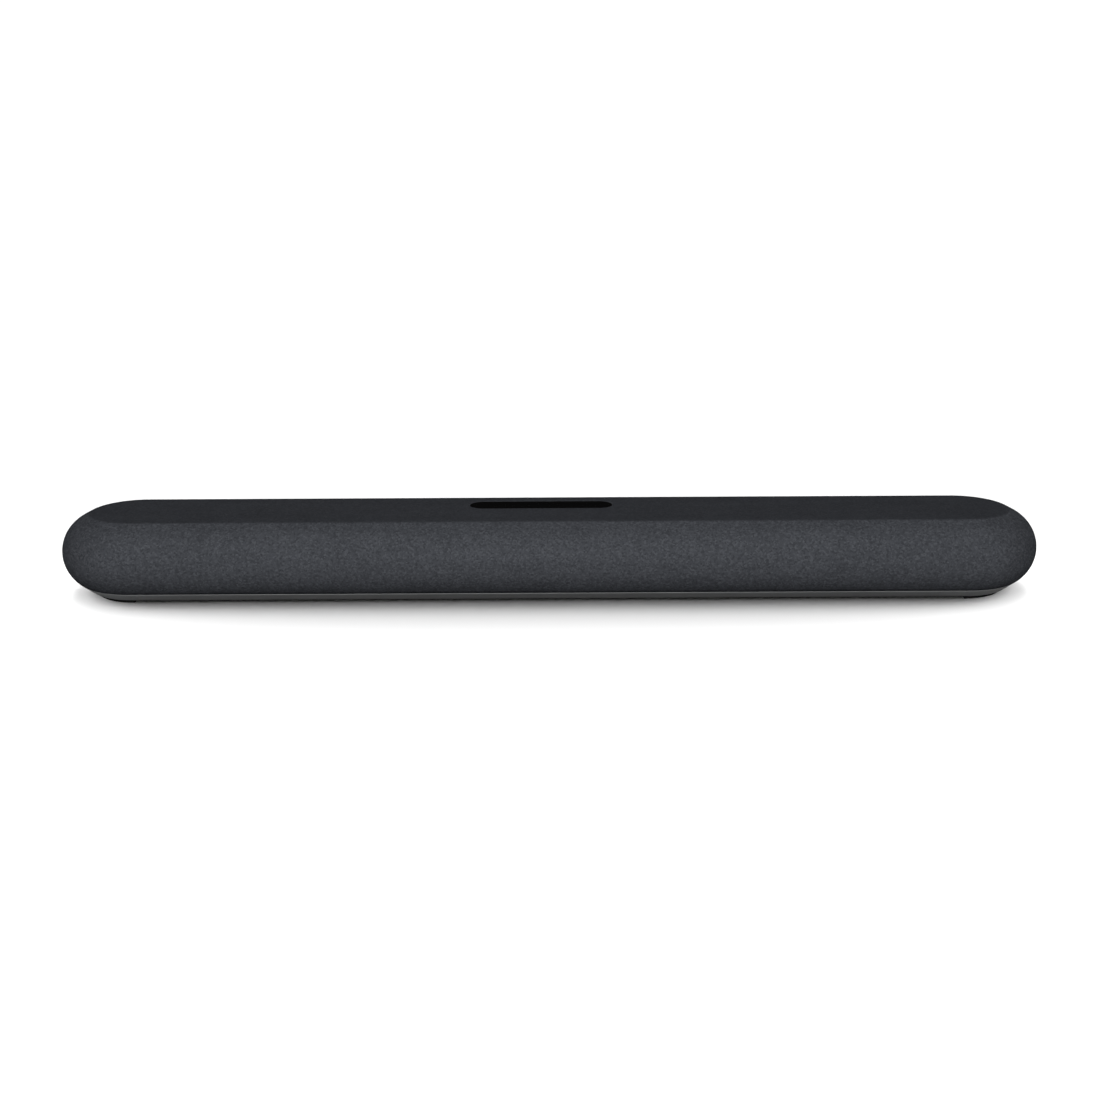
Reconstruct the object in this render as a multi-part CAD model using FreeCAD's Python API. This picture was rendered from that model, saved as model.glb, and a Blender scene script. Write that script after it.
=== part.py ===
"""A compact soundbar: a round-ended bar wrapped in fabric over a plastic base, with a touch panel on top.

Millimetres. X runs along the bar, -Y is the front and +Z is up. The origin is on the table under the
bar's middle.
"""

import FreeCAD
import Part

import math
import os

from FreeCAD import Vector

# ---- Overall form ----
LENGTH = 790.0
DEPTH = 125.0
HEIGHT = 67.0
BULGE_Z = 35.5  # height at which the flank stands out furthest
TOP_INSET = 24.0  # from the furthest point of the flank in to the edge of the flat top
FLANK_SHARE = 0.83  # how much of a single arc's turn the flank makes before it runs on straight
SEAM_Z = 10.8  # where the fabric body meets the base
SEAM_INSET = 12.6
BASE_TAPER = 9.6  # how much further in the base's underside lies
FOOT_DROP = 3.3  # how far the feet hold the base off the table
CREST_ROUND = 2.0  # from each rounded corner back along its sides
BASE_ROUND = 0.8

# ---- Skins ----
FABRIC_T = 1.0
SKIN_GAP = 0.1
SHELL_T = 2.5
GASKET_T = 0.8
BASE_WALL = 3.0
LEDGE_W = 8.4  # from the seam's outer edge in to the shell's open underside
LEDGE_RISE = 4.0
LIP_T = 2.0
SLOT_W = 4.0
SLOT_PITCH = 8.0
FIT = 0.3  # between pieces that drop into each other
TOUCHING = 0.05  # radial gap of a screw in its pilot hole

# ---- Feet ----
FOOT_W = 9.0
FOOT_SUNK = 1.0
FOOT_MARGIN = 4.8  # from the edge of the base's underside

# ---- Posts that the base's screws go into ----
POST_R = 4.0
POST_TURN = math.radians(55)  # around the round end, from the bar's long axis
POST_FOOT_GAP = 1.3
POST_RISE = 1.0  # above the seam, where the shell's posts stand on the base's
PILOT_DEPTH = 12.0
BOX_POST_IN = 14.0  # from a speaker box's walls
BOSS_RISE = 5.0  # of a box's screw boss above its floor
BOSS_CAP = 0.5  # left closed over the screw

# ---- Touch panel ----
TOUCH_LENGTH = 116.0
TOUCH_WIDTH = 22.5
TOUCH_X = -6.5
TOUCH_REAR_MARGIN = 14.0  # from the flat top's rear edge
GLASS_T = 1.2
GLASS_EDGE = 0.25
HOLDER_FLANGE = 3.0
HOLDER_T = 1.5
SCREEN_T = 1.7
SCREEN_MARGIN = 3.0
BOARD_T = 1.6

# ---- Speaker boxes ----
BOX_WALL = 2.5
BOX_LIFT = 0.5  # above the base's lip
BOX_HEADROOM = 4.4  # under the shell's top
BOX_INNER_X = 120.0
BOX_END_GAP = 7.5  # from where the round end begins
CENTRE_BOX_X = 115.0
CENTRE_BOX_DEPTH = 33.5
BAFFLE_MARGIN = 1.0
DRIVER_MARGIN = 7.0
CASE_FIT = 0.5

# ---- Woofers: racetrack drivers ----
WOOFER_LENGTH = 78.0
FLANGE_T = 2.5
FLANGE_W = 5.5
ROLL_R = 2.5
ROLL_T = 0.6
BASKET_DEPTH = 12.0
BASKET_T = 1.2
BACK_T = 2.0
CONE_DEPTH = 8.5
CONE_T = 0.8
CAP_RISE = 2.2
FORMER_R = 7.4
FORMER_T = 0.4
COIL_T = 0.4
AIR_GAP = 0.4
WOOFER_TRAVEL = 3.0  # each way
PLATE_R = 15.5
PLATE_T = 3.0
MAGNET_R = 16.0
MAGNET_T = 8.0
MAGNET_BORE = 10.5
SPIDER_T = 0.8
SPIDER_R = 14.0
SPIDER_LIFT = 1.8  # above the basket's floor
COIL_HALF = 3.5  # half the coil's length
LANDING_W = 1.5

# ---- Tweeters ----
TWEETER_R = 19.0
TWEETER_CAN_R = 15.0
TWEETER_CAN_DEPTH = 12.0
DOME_R = 12.4
DOME_RISE = 2.6
DOME_T = 0.7
DOME_SKIRT = 3.7
DOME_GAP = 0.5
TWEETER_FLOOR = -1.6
DOME_REST = -0.3

# ---- Passive radiators ----
RADIATOR_LENGTH = 100.0
RADIATOR_WIDTH = 54.0
RADIATOR_FLANGE_T = 1.5
RADIATOR_FLANGE_W = 6.0
RADIATOR_SKIRT = 3.0
RADIATOR_SKIRT_T = 1.5
RADIATOR_ROLL_R = 3.0
RADIATOR_ROLL_T = 0.7
RADIATOR_PLATE_T = 3.0

# ---- Rear panel and connector bay ----
REAR_END_MARGIN = 92.5  # from where the round end begins
WINDOW_LOW = 6.2  # above the seam
WINDOW_HIGH = 13.0  # under the top
WINDOW_CORNER = 7.0
PANEL_SUNK = 0.4
PANEL_FLANGE = 5.0
PANEL_FLANGE_T = 2.0
BAY_HALF = 105.0
BAY_DEPTH = 26.5
BAY_WALL = 2.0
BAY_MARGIN = 1.5  # from the window's edge to the bay's outer wall
BAY_CORNER = 4.0
PLATE_THICK = 1.5
PLATE_EDGE = 2.0
PLATE_LOW_EDGE = 0.5
INSERT_R = 3.0
INSERT_BORE = 1.65
INSERT_LENGTH = 10.0
INSERT_PAD_R = 7.0
INSERT_SUNK = 1.2
INSERT_END = 25.0  # from the window's end

# ---- Electronics ----
BOARD_LIFT = 1.5  # above the floor of the connector bay
BOARD_GAP = 1.0
BOARD_SPLIT = -20.0  # between the power board on the left and the main board on the right
BOARD_SIDE = 108.0
BOARD_SEAM = 2.0  # between the two boards
STANDOFF_R = 3.0
STANDOFF_IN = 3.0  # further in from the seam between the boards
HEATSINK_X = (28.0, 76.0)
HEATSINK_Y = (2.0, 12.0)  # from the board's front edge
HEATSINK_RISE = 20.0
HEATSINK_FOOT = 3.0
FIN_COUNT = 11
CHIP_T = 2.0  # the amplifier chip under the heatsink
FLAT_CHIP_T = 1.6
RIBBON_PLUG_T = 3.0
RIBBON_X = (12.0, 24.0)  # from the touch panel's middle
RIBBON_T = 0.3
TOUCH_PLUG_T = 2.0
MICROPHONE_R = 2.5
MICROPHONE_T = 1.2
MICROPHONE_X = 40.0  # each way from the touch panel's middle
TRANSFORMER_X = (-66.0, -42.0)
TRANSFORMER_RISE = 18.0
LARGE_CAPACITOR_R = 5.0
LARGE_CAPACITOR_RISE = 20.0
SMALL_CAPACITOR_R = 3.5
SMALL_CAPACITOR_RISE = 12.0
ANTENNA_LENGTH = 28.0
ANTENNA_RISE = 16.0
ANTENNA_T = 1.0
ANTENNA_GAP = 5.5  # from the base's lip
WIRE_R = 0.9
WIRE_BEND = 5.0
WIRE_Z = 9.5
WIRE_START_X = 28.0

# ---- Sockets along the bay: middle x, width, height above the board, and depth ----
POWER = (-84.0, 24.0, 15.0, 24.0)
HDMI = (4.0, 15.0, 6.2, 13.0)
OPTICAL = (31.0, 10.0, 10.0, 14.0)
NETWORK = (57.0, 16.0, 13.5, 22.0)
USB = (84.0, 14.4, 7.0, 15.0)
SOCKET_PROUD = 0.5
INLET_THROAT = (17.0, 9.0, 13.0)  # length, width and depth of the power inlet's mouth
INLET_PIN_R = 1.2
INLET_PIN_X = 4.3  # each way from the inlet's middle
OPTICAL_MOUTH = 6.8
NETWORK_MOUTH = (12.0, 7.2, 14.0)  # width, height and depth
NETWORK_LATCH = 6.0

# ---- Buttons in the bay ----
BUTTONS = {"pairing": -52.0, "mute": -34.0}
BUTTON_R = 3.0
BUTTON_LIFT = 6.0
BUTTON_PROUD = 1.5
BUTTON_TRAVEL = 0.8
BUTTON_EDGE = 0.4
BUTTON_CLEARANCE = 0.35
COLLAR_R = 4.0
COLLAR_T = 1.0
STEM_R = 1.5
BUTTON_LENGTH = 8.0
SWITCH_SIZE = 6.0
SWITCH_DEPTH = 4.0

# ---- Screws ----
SCREW_R = 1.5
SCREW_HEAD_R = 2.8
SCREW_HEAD_T = 2.0
SCREW_SUNK = 0.6
DRIVER_SCREW_R = 1.2
DRIVER_SCREW_HEAD_R = 2.1
DRIVER_SCREW_HEAD_T = 1.2
DRIVER_SCREW_HOLE = 0.2  # wider all round than its shank
DRIVER_SCREW_LENGTH = 8.0  # under its head
DRIVER_PILOT = 9.0
RADIATOR_SCREW_LENGTH = 4.5

# ---- Worked out from the sizes above ----
END_R = DEPTH / 2
END_X = LENGTH / 2 - END_R
SHELL_OUT = FABRIC_T + SKIN_GAP
SHELL_IN = SHELL_OUT + SHELL_T
SHELL_LOW = SEAM_Z + GASKET_T
CAVITY_LOW = SEAM_Z + LEDGE_RISE
CAVITY_TOP = HEIGHT - SHELL_IN
SEAM_R = END_R - SEAM_INSET
OPENING_R = SEAM_R - LEDGE_W
BASE_R = SEAM_R - BASE_TAPER
FOOT_OUT_R = BASE_R - FOOT_MARGIN
FOOT_IN_R = FOOT_OUT_R - FOOT_W
POST_GAP_Z = SEAM_Z + POST_RISE
FLOOR_Z = FOOT_DROP + BASE_WALL
BOX_LOW = CAVITY_LOW + BOX_LIFT
BOX_TOP = CAVITY_TOP - BOX_HEADROOM
BOX_FRONT = -(OPENING_R - CASE_FIT - FLANGE_T)
BOX_REAR = -BOX_FRONT
BOX_OUTER_X = END_X - BOX_END_GAP
CENTRE_REAR = BOX_FRONT + CENTRE_BOX_DEPTH
DRIVER_Z = (BOX_LOW + BOX_TOP) / 2
WOOFER_WIDTH = BOX_TOP - BOX_LOW - 2 * BAFFLE_MARGIN
WOOFER_X = BOX_INNER_X + DRIVER_MARGIN + WOOFER_LENGTH / 2
TWEETER_X = BOX_OUTER_X - DRIVER_MARGIN - TWEETER_R
RADIATOR_X = (BOX_INNER_X + BOX_OUTER_X) / 2
TOUCH_Y = END_R - TOP_INSET - TOUCH_REAR_MARGIN - TOUCH_WIDTH / 2
GLASS_LOW = HEIGHT - GLASS_T
HOLDER_LOW = CAVITY_TOP - HOLDER_T
WINDOW_HALF = END_X - REAR_END_MARGIN
WINDOW_Z = (SEAM_Z + WINDOW_LOW, HEIGHT - WINDOW_HIGH)
BAY_Y = END_R - BAY_DEPTH
BAY_Z = (WINDOW_Z[0] + BAY_MARGIN + BAY_WALL, WINDOW_Z[1] - BAY_MARGIN - BAY_WALL)
INSERT_X = WINDOW_HALF - INSERT_END
INSERT_Y = END_R - INSERT_SUNK
BOARD_Z = BAY_Z[0] + BOARD_LIFT
BOARD_TOP = BOARD_Z + BOARD_T
BOARD_FRONT = CENTRE_REAR + BOARD_GAP
BOARD_REAR = BAY_Y - BAY_WALL - BOARD_GAP
PLATE_REAR = BAY_Y + PLATE_THICK
SOCKET_REAR = PLATE_REAR + SOCKET_PROUD

SIDES = {"left": -1, "right": 1}
X_AXIS, Y_AXIS, Z_AXIS = Vector(1, 0, 0), Vector(0, 1, 0), Vector(0, 0, 1)
FAR = 2 * LENGTH  # a cutting box reaches this far where it has to clear everything


# ---- Plain shapes ----
def box(x, y, z):
    """A box from its low and high x, y and z."""
    low = Vector(x[0], y[0], z[0])
    return Part.makeBox(x[1] - x[0], y[1] - y[0], z[1] - z[0], low)


def rod(radius, start, end):
    """A cylinder from one point to another."""
    start, end = Vector(*start), Vector(*end)
    return Part.makeCylinder(radius, (end - start).Length, start, end - start)


def tube(outer, inner, start, end):
    return rod(outer, start, end).cut(rod(inner, start, end))


def racetrack_wire(length, width, z):
    """A closed oval of two straights and two half circles, flat at height z, around the Z axis."""
    r = width / 2
    s = max(length / 2 - r, 0.05)
    corners = [Vector(-s, -r, z), Vector(s, -r, z), Vector(s, r, z), Vector(-s, r, z)]
    right = Part.Arc(corners[1], Vector(s + r, 0, z), corners[2]).toShape()
    left = Part.Arc(corners[3], Vector(-s - r, 0, z), corners[0]).toShape()
    front = Part.makeLine(corners[0], corners[1])
    rear = Part.makeLine(corners[2], corners[3])
    return Part.Wire([front, right, rear, left])


def racetrack(length, width, z):
    """A solid racetrack between two heights."""
    return Part.Face(racetrack_wire(length, width, z[0])).extrude(Vector(0, 0, z[1] - z[0]))


def racetrack_ring(length, width, wall, z):
    return racetrack(length, width, z).cut(racetrack(length - 2 * wall, width - 2 * wall, z))


def racetrack_loft(low, high):
    """A solid between two racetracks, each given as (length, width, z)."""
    return Part.makeLoft([racetrack_wire(*low), racetrack_wire(*high)], True, True)


def half_roll(length, width, radius, thickness, z, up):
    """A half-round roll that follows a racetrack centreline, bulging up (1) or down (-1)."""
    centre_r = width / 2
    straight = max(length / 2 - centre_r, 0.05)
    inner = radius - thickness

    def section(x):
        def at(r, turn):
            return Vector(x, centre_r + r * math.cos(turn), z + up * r * math.sin(turn))

        outside = Part.Arc(at(radius, 0), at(radius, math.pi / 2), at(radius, math.pi)).toShape()
        inside = Part.Arc(at(inner, math.pi), at(inner, math.pi / 2), at(inner, 0)).toShape()
        far_end = Part.makeLine(at(radius, math.pi), at(inner, math.pi))
        near_end = Part.makeLine(at(inner, 0), at(radius, 0))
        return Part.Face(Part.Wire([outside, far_end, inside, near_end]))

    side = section(-straight).extrude(Vector(2 * straight, 0, 0))
    other = side.mirror(Vector(0, 0, 0), Y_AXIS)
    right = section(straight).revolve(Vector(straight, 0, 0), Z_AXIS, -180)
    left = section(-straight).revolve(Vector(-straight, 0, 0), Z_AXIS, 180)
    return side.fuse([other, right, left]).removeSplitter()


def facing_front(shape, x, z):
    """Turns a driver made facing +Z to face the front, mounted on the boxes' front wall."""
    shape = shape.copy()
    shape.rotate(Vector(0, 0, 0), X_AXIS, 90)
    shape.translate(Vector(x, BOX_FRONT, z))
    return shape


def facing_up(shape, x, z):
    shape = shape.copy()
    shape.translate(Vector(x, 0, z))
    return shape


# ---- The bar's round-ended form ----
def oblong(outline):
    """A round-ended solid from its half outline: lines (2 points) and arcs (3 points) in a chain going up."""

    def edge(points, x, side):
        places = [Vector(x, side * r, z) for r, z in points]
        return Part.makeLine(*places) if len(places) == 2 else Part.Arc(*places).toShape()

    (low_r, low_z), (top_r, top_z) = outline[0][0], outline[-1][-1]
    to_axis = [[(top_r, top_z), (0, top_z)], [(0, top_z), (0, low_z)], [(0, low_z), (low_r, low_z)]]
    solids = []
    for x, turn in ((END_X, -180), (-END_X, 180)):
        half = Part.Wire([edge(points, x, 1) for points in outline + to_axis])
        solids.append(Part.Face(half).revolve(Vector(x, 0, 0), Z_AXIS, turn))
    around = [edge(points, -END_X, 1) for points in outline]
    around.append(Part.makeLine(Vector(-END_X, top_r, top_z), Vector(-END_X, -top_r, top_z)))
    around += [edge(points[::-1], -END_X, -1) for points in outline[::-1]]
    around.append(Part.makeLine(Vector(-END_X, -low_r, low_z), Vector(-END_X, low_r, low_z)))
    middle = Part.Face(Part.Wire(around)).extrude(Vector(2 * END_X, 0, 0))
    return middle.fuse(solids).removeSplitter()


def corner_arc(before, corner, after, reach):
    """The arc that rounds an outline's corner, touching both sides at that distance from it."""
    corner = Vector(*corner, 0)
    back = (Vector(*before, 0) - corner).normalize()
    on = (Vector(*after, 0) - corner).normalize()
    half = back.getAngle(on) / 2
    inward = (back + on).normalize()
    middle = corner + inward * (reach / math.cos(half) - reach * math.tan(half))
    return [(p.x, p.y) for p in (corner + back * reach, middle, corner + on * reach)]


def straight_oblong(radius, z):
    return oblong([[(radius, z[0]), (radius, z[1])]])


def oblong_ring(outer, inner, z):
    return straight_oblong(outer, z).cut(straight_oblong(inner, z))


def pill(inset, low):
    """The fabric body's outer form drawn in by inset all over, cut off flat at height low."""
    rise = HEIGHT - BULGE_Z
    turn = FLANK_SHARE * 2 * math.atan(TOP_INSET / rise)
    sin, cos = math.sin(turn), math.cos(turn)
    upper = (rise * sin - TOP_INSET * cos) / (1 - cos)
    drop = BULGE_Z - SEAM_Z
    lower = (SEAM_INSET**2 + drop**2) / (2 * SEAM_INSET)
    top = HEIGHT - inset

    def on_arc(radius, angle):
        """A point of the flank's upper (angle above 0) or lower arc."""
        centre = END_R - radius
        reach = radius - inset
        return centre + reach * math.cos(angle), BULGE_Z + reach * math.sin(angle)

    low_turn = -math.asin((BULGE_Z - low) / (lower - inset))
    shoulder = on_arc(upper, turn)
    run = (top - shoulder[1]) / cos
    crest = corner_arc(shoulder, (shoulder[0] - run * sin, top), (0, top), CREST_ROUND)
    bulge = (END_R - inset, BULGE_Z)
    return oblong(
        [
            [on_arc(lower, low_turn), on_arc(lower, low_turn / 2), bulge],
            [bulge, on_arc(upper, turn / 2), shoulder],
            [shoulder, crest[0]],
            crest,
        ]
    )


def rounded_box(x, y, z, radius):
    """A box whose corners are rounded as seen from the rear."""
    block = box(x, y, z)
    along_y = [e for e in block.Edges if abs(e.tangentAt(e.FirstParameter).y) > 0.9]
    return block.makeFillet(radius, along_y)


def window_box(grow=0.0):
    """The rear panel's window as a cutting block, grown on every edge."""
    x = (-WINDOW_HALF - grow, WINDOW_HALF + grow)
    z = (WINDOW_Z[0] - grow, WINDOW_Z[1] + grow)
    return rounded_box(x, (END_R / 3, FAR), z, WINDOW_CORNER + grow)


# ---- Casing ----
def touch_pill(grow, z):
    pill_shape = racetrack(TOUCH_LENGTH + 2 * grow, TOUCH_WIDTH + 2 * grow, z)
    pill_shape.translate(Vector(TOUCH_X, TOUCH_Y, 0))
    return pill_shape


def fabric_cover():
    skin = pill(0, SHELL_LOW).cut(pill(FABRIC_T, SHELL_LOW))
    skin = skin.cut(window_box())
    return skin.cut(touch_pill(FIT, (HEIGHT - 2 * FABRIC_T, HEIGHT + FABRIC_T)))


def slots(centre, count, y, z):
    """Upright or lengthwise slots, side by side along X around a centre."""
    first = centre - (count - 1) / 2 * SLOT_PITCH
    xs = [first + i * SLOT_PITCH for i in range(count)]
    return [box((x - SLOT_W / 2, x + SLOT_W / 2), y, z) for x in xs]


def sound_slots():
    """Openings in the shell in front of each driver and over each radiator."""
    cuts = []
    half = WOOFER_WIDTH / 2 - FLANGE_W
    front, tall = (-FAR, BOX_FRONT - FLANGE_T - FIT), (DRIVER_Z - half, DRIVER_Z + half)
    woofer_count = int((WOOFER_LENGTH - 2 * FLANGE_W) // SLOT_PITCH)
    for x in (-WOOFER_X, 0, WOOFER_X):
        cuts += slots(x, woofer_count, front, tall)
    tweeter_count = int(2 * DOME_R // SLOT_PITCH)
    for x in (-TWEETER_X, TWEETER_X):
        cuts += slots(x, tweeter_count, front, (DRIVER_Z - DOME_R, DRIVER_Z + DOME_R))
    radiator_count = int((RADIATOR_LENGTH - 2 * RADIATOR_FLANGE_W) // SLOT_PITCH)
    wide = RADIATOR_WIDTH / 2 - RADIATOR_FLANGE_W
    for x in (-RADIATOR_X, RADIATOR_X):
        cuts += slots(x, radiator_count, (-wide, wide), (CAVITY_TOP - FIT, FAR))
    return cuts


def shell_posts():
    """Screw posts in the shell's round ends, just inside the feet, as (x, y)."""
    reach = FOOT_IN_R - POST_FOOT_GAP - SCREW_HEAD_R
    x, y = reach * math.cos(POST_TURN), reach * math.sin(POST_TURN)
    return [(side * (END_X + x), depth * y) for side in (-1, 1) for depth in (-1, 1)]


def box_posts():
    """Screw posts of the base under the speaker boxes, as (x, y)."""
    y = -BOX_FRONT - BOX_POST_IN
    ends = [BOX_INNER_X + BOX_POST_IN, BOX_OUTER_X - BOX_POST_IN]
    places = [(side * x, depth * y) for side in (-1, 1) for x in ends for depth in (-1, 1)]
    return places + [(side * (CENTRE_BOX_X - BOX_POST_IN), -y) for side in (-1, 1)]


def grille_shell():
    shell = pill(SHELL_OUT, SHELL_LOW).cut(pill(SHELL_IN, CAVITY_LOW))
    shell = shell.cut(straight_oblong(OPENING_R, (SHELL_LOW - 1, CAVITY_LOW + 1)))
    shell = shell.cut([window_box(), touch_pill(FIT, (CAVITY_TOP - 1, HEIGHT))])
    shell = shell.cut(sound_slots())
    posts, pilots = [], []
    for x, y in shell_posts():
        low = (x, y, POST_GAP_Z)
        posts.append(rod(POST_R, low, (x, y, CAVITY_TOP + SHELL_T / 2)))
        pilots.append(rod(SCREW_R + TOUCHING, low, (x, y, POST_GAP_Z + PILOT_DEPTH)))
    return shell.fuse(posts).cut(pilots)


def seam_gasket():
    outer = END_R - SEAM_INSET - LEDGE_W / 3
    return oblong_ring(outer, OPENING_R, (SEAM_Z, SHELL_LOW))


def foot_form(side, grow, z):
    """A C-shaped pad that follows one round end of the underside."""
    ring = tube(FOOT_OUT_R + grow, FOOT_IN_R - grow, (side * END_X, 0, z[0]), (side * END_X, 0, z[1]))
    keep = sorted([side * (END_X - grow), side * FAR])
    return ring.common(box(keep, (-FAR, FAR), (-FAR, FAR)))


def foot(side):
    return foot_form(side, 0, (0, FOOT_DROP + FOOT_SUNK))


def board_posts():
    """Standoffs under the two boards, as (x, y)."""
    ys = (BOARD_FRONT + 2 * STANDOFF_R, BOARD_REAR - 2 * STANDOFF_R)
    side = 2 * STANDOFF_R
    seam = side + STANDOFF_IN
    xs = (-BOARD_SIDE + side, BOARD_SPLIT - seam, BOARD_SPLIT + seam, BOARD_SIDE - side)
    return [(x, y) for x in xs for y in ys]


def base_cover():
    under, rim = (BASE_R, FOOT_DROP), (SEAM_R, SEAM_Z)
    low_edge = corner_arc((0, FOOT_DROP), under, rim, BASE_ROUND)
    top_edge = corner_arc(under, rim, (0, SEAM_Z), BASE_ROUND)
    taper = oblong([low_edge, [low_edge[-1], top_edge[0]], top_edge])
    lip = straight_oblong(OPENING_R - FIT, (SEAM_Z, CAVITY_LOW))
    top_r = OPENING_R - FIT - LIP_T
    low_r = min(top_r, BASE_R + BASE_TAPER * BASE_WALL / (SEAM_Z - FOOT_DROP) - BASE_WALL)
    hollow = oblong([[(low_r, FLOOR_Z), (top_r, SEAM_Z)], [(top_r, SEAM_Z), (top_r, CAVITY_LOW)]])
    cover = taper.fuse(lip).cut(hollow)
    stands = [rod(POST_R, (x, y, FLOOR_Z - 1), (x, y, POST_GAP_Z)) for x, y in shell_posts()]
    stands += [rod(POST_R, (x, y, FLOOR_Z - 1), (x, y, BOX_LOW)) for x, y in box_posts()]
    stands += [rod(STANDOFF_R, (x, y, FLOOR_Z - 1), (x, y, BOARD_Z)) for x, y in board_posts()]
    cuts = []
    for x, y in shell_posts() + box_posts():
        cuts.append(rod(SCREW_R + TOUCHING, (x, y, 0), (x, y, BOX_LOW + 1)))
        cuts.append(rod(SCREW_HEAD_R + FIT, (x, y, 0), (x, y, FOOT_DROP + SCREW_SUNK + SCREW_HEAD_T)))
    feet = [foot_form(side, TOUCHING, (0, FOOT_DROP + FOOT_SUNK)) for side in (-1, 1)]
    return cover.fuse(stands).cut(cuts + feet)


def case_screws():
    """All the screws that are driven up through the base."""
    head_low = FOOT_DROP + SCREW_SUNK
    head_top = head_low + SCREW_HEAD_T
    shell_tip = POST_GAP_Z + PILOT_DEPTH - 2
    box_tip = BOX_LOW + BOX_WALL + 4
    places = [(x, y, shell_tip) for x, y in shell_posts()] + [(x, y, box_tip) for x, y in box_posts()]
    screws = []
    for x, y, tip in places:
        head = rod(SCREW_HEAD_R, (x, y, head_low), (x, y, head_top))
        socket = rod(SCREW_HEAD_R / 2, (x, y, head_low), (x, y, head_low + SCREW_HEAD_T / 2))
        screws.append(head.cut(socket).fuse(rod(SCREW_R, (x, y, head_top), (x, y, tip))))
    return Part.makeCompound(screws)


# ---- Touch panel ----
def touch_glass():
    glass = touch_pill(0, (GLASS_LOW, HEIGHT))
    rim = [e for e in glass.Edges if e.BoundBox.ZMin > HEIGHT - FIT]
    return glass.makeChamfer(GLASS_EDGE, rim)


def display_holder():
    body = touch_pill(0, (CAVITY_TOP, GLASS_LOW))
    flange = touch_pill(HOLDER_FLANGE, (HOLDER_LOW, CAVITY_TOP))
    screen = touch_pill(-SCREEN_MARGIN + FIT, (GLASS_LOW - SCREEN_T, GLASS_LOW))
    through = touch_pill(-SCREEN_MARGIN - 2, (HOLDER_LOW, GLASS_LOW))
    return body.fuse(flange).cut([screen, through])


def display_module():
    return touch_pill(-SCREEN_MARGIN, (GLASS_LOW - SCREEN_T, GLASS_LOW))


def touch_board():
    z = (HOLDER_LOW - BOARD_T, HOLDER_LOW)
    board = touch_pill(HOLDER_FLANGE - 1, z)
    below = (z[0] - TOUCH_PLUG_T, z[0])
    chip = box((TOUCH_X - 6, TOUCH_X + 6), (TOUCH_Y - 5, TOUCH_Y + 5), below)
    plug_x = (TOUCH_X + RIBBON_X[0] - 2, TOUCH_X + RIBBON_X[1] + 2)
    plug = box(plug_x, (TOUCH_Y - 9, TOUCH_Y - 4), below)
    microphones = []
    for x in (TOUCH_X - MICROPHONE_X, TOUCH_X + MICROPHONE_X):
        microphones.append(rod(MICROPHONE_R, (x, TOUCH_Y, z[0] - MICROPHONE_T), (x, TOUCH_Y, z[0])))
    return board.fuse([chip, plug] + microphones)


# ---- Speaker boxes ----
def box_spans():
    """Each box's low and high x, and its rear y."""
    spans = {"centre": [-CENTRE_BOX_X, CENTRE_BOX_X, CENTRE_REAR]}
    for name, side in SIDES.items():
        spans[name] = sorted([side * BOX_INNER_X, side * BOX_OUTER_X]) + [BOX_REAR]
    return spans


def driver_screws_of(length, width):
    """Screw places of a racetrack flange, measured from its middle."""
    inset = FLANGE_W / 2
    x, y = length / 2 - width / 2, width / 2 - inset
    return [(sx * x, sy * y) for sx in (-1, 1) for sy in (-1, 1)]


def woofer_places():
    return {"left": -WOOFER_X, "centre": 0, "right": WOOFER_X}


def tweeter_screws():
    reach = (TWEETER_R + TWEETER_CAN_R) / 2 + 0.2
    turns = [math.radians(45 + 90 * i) for i in range(4)]
    return [(reach * math.cos(t), reach * math.sin(t)) for t in turns]


def radiator_screws():
    x = RADIATOR_LENGTH / 2 - RADIATOR_WIDTH / 2
    y = RADIATOR_WIDTH / 2 - RADIATOR_FLANGE_W / 2 + 0.4
    return [(sx * x, sy * y) for sx in (-1, 1) for sy in (-1, 1)]


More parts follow.
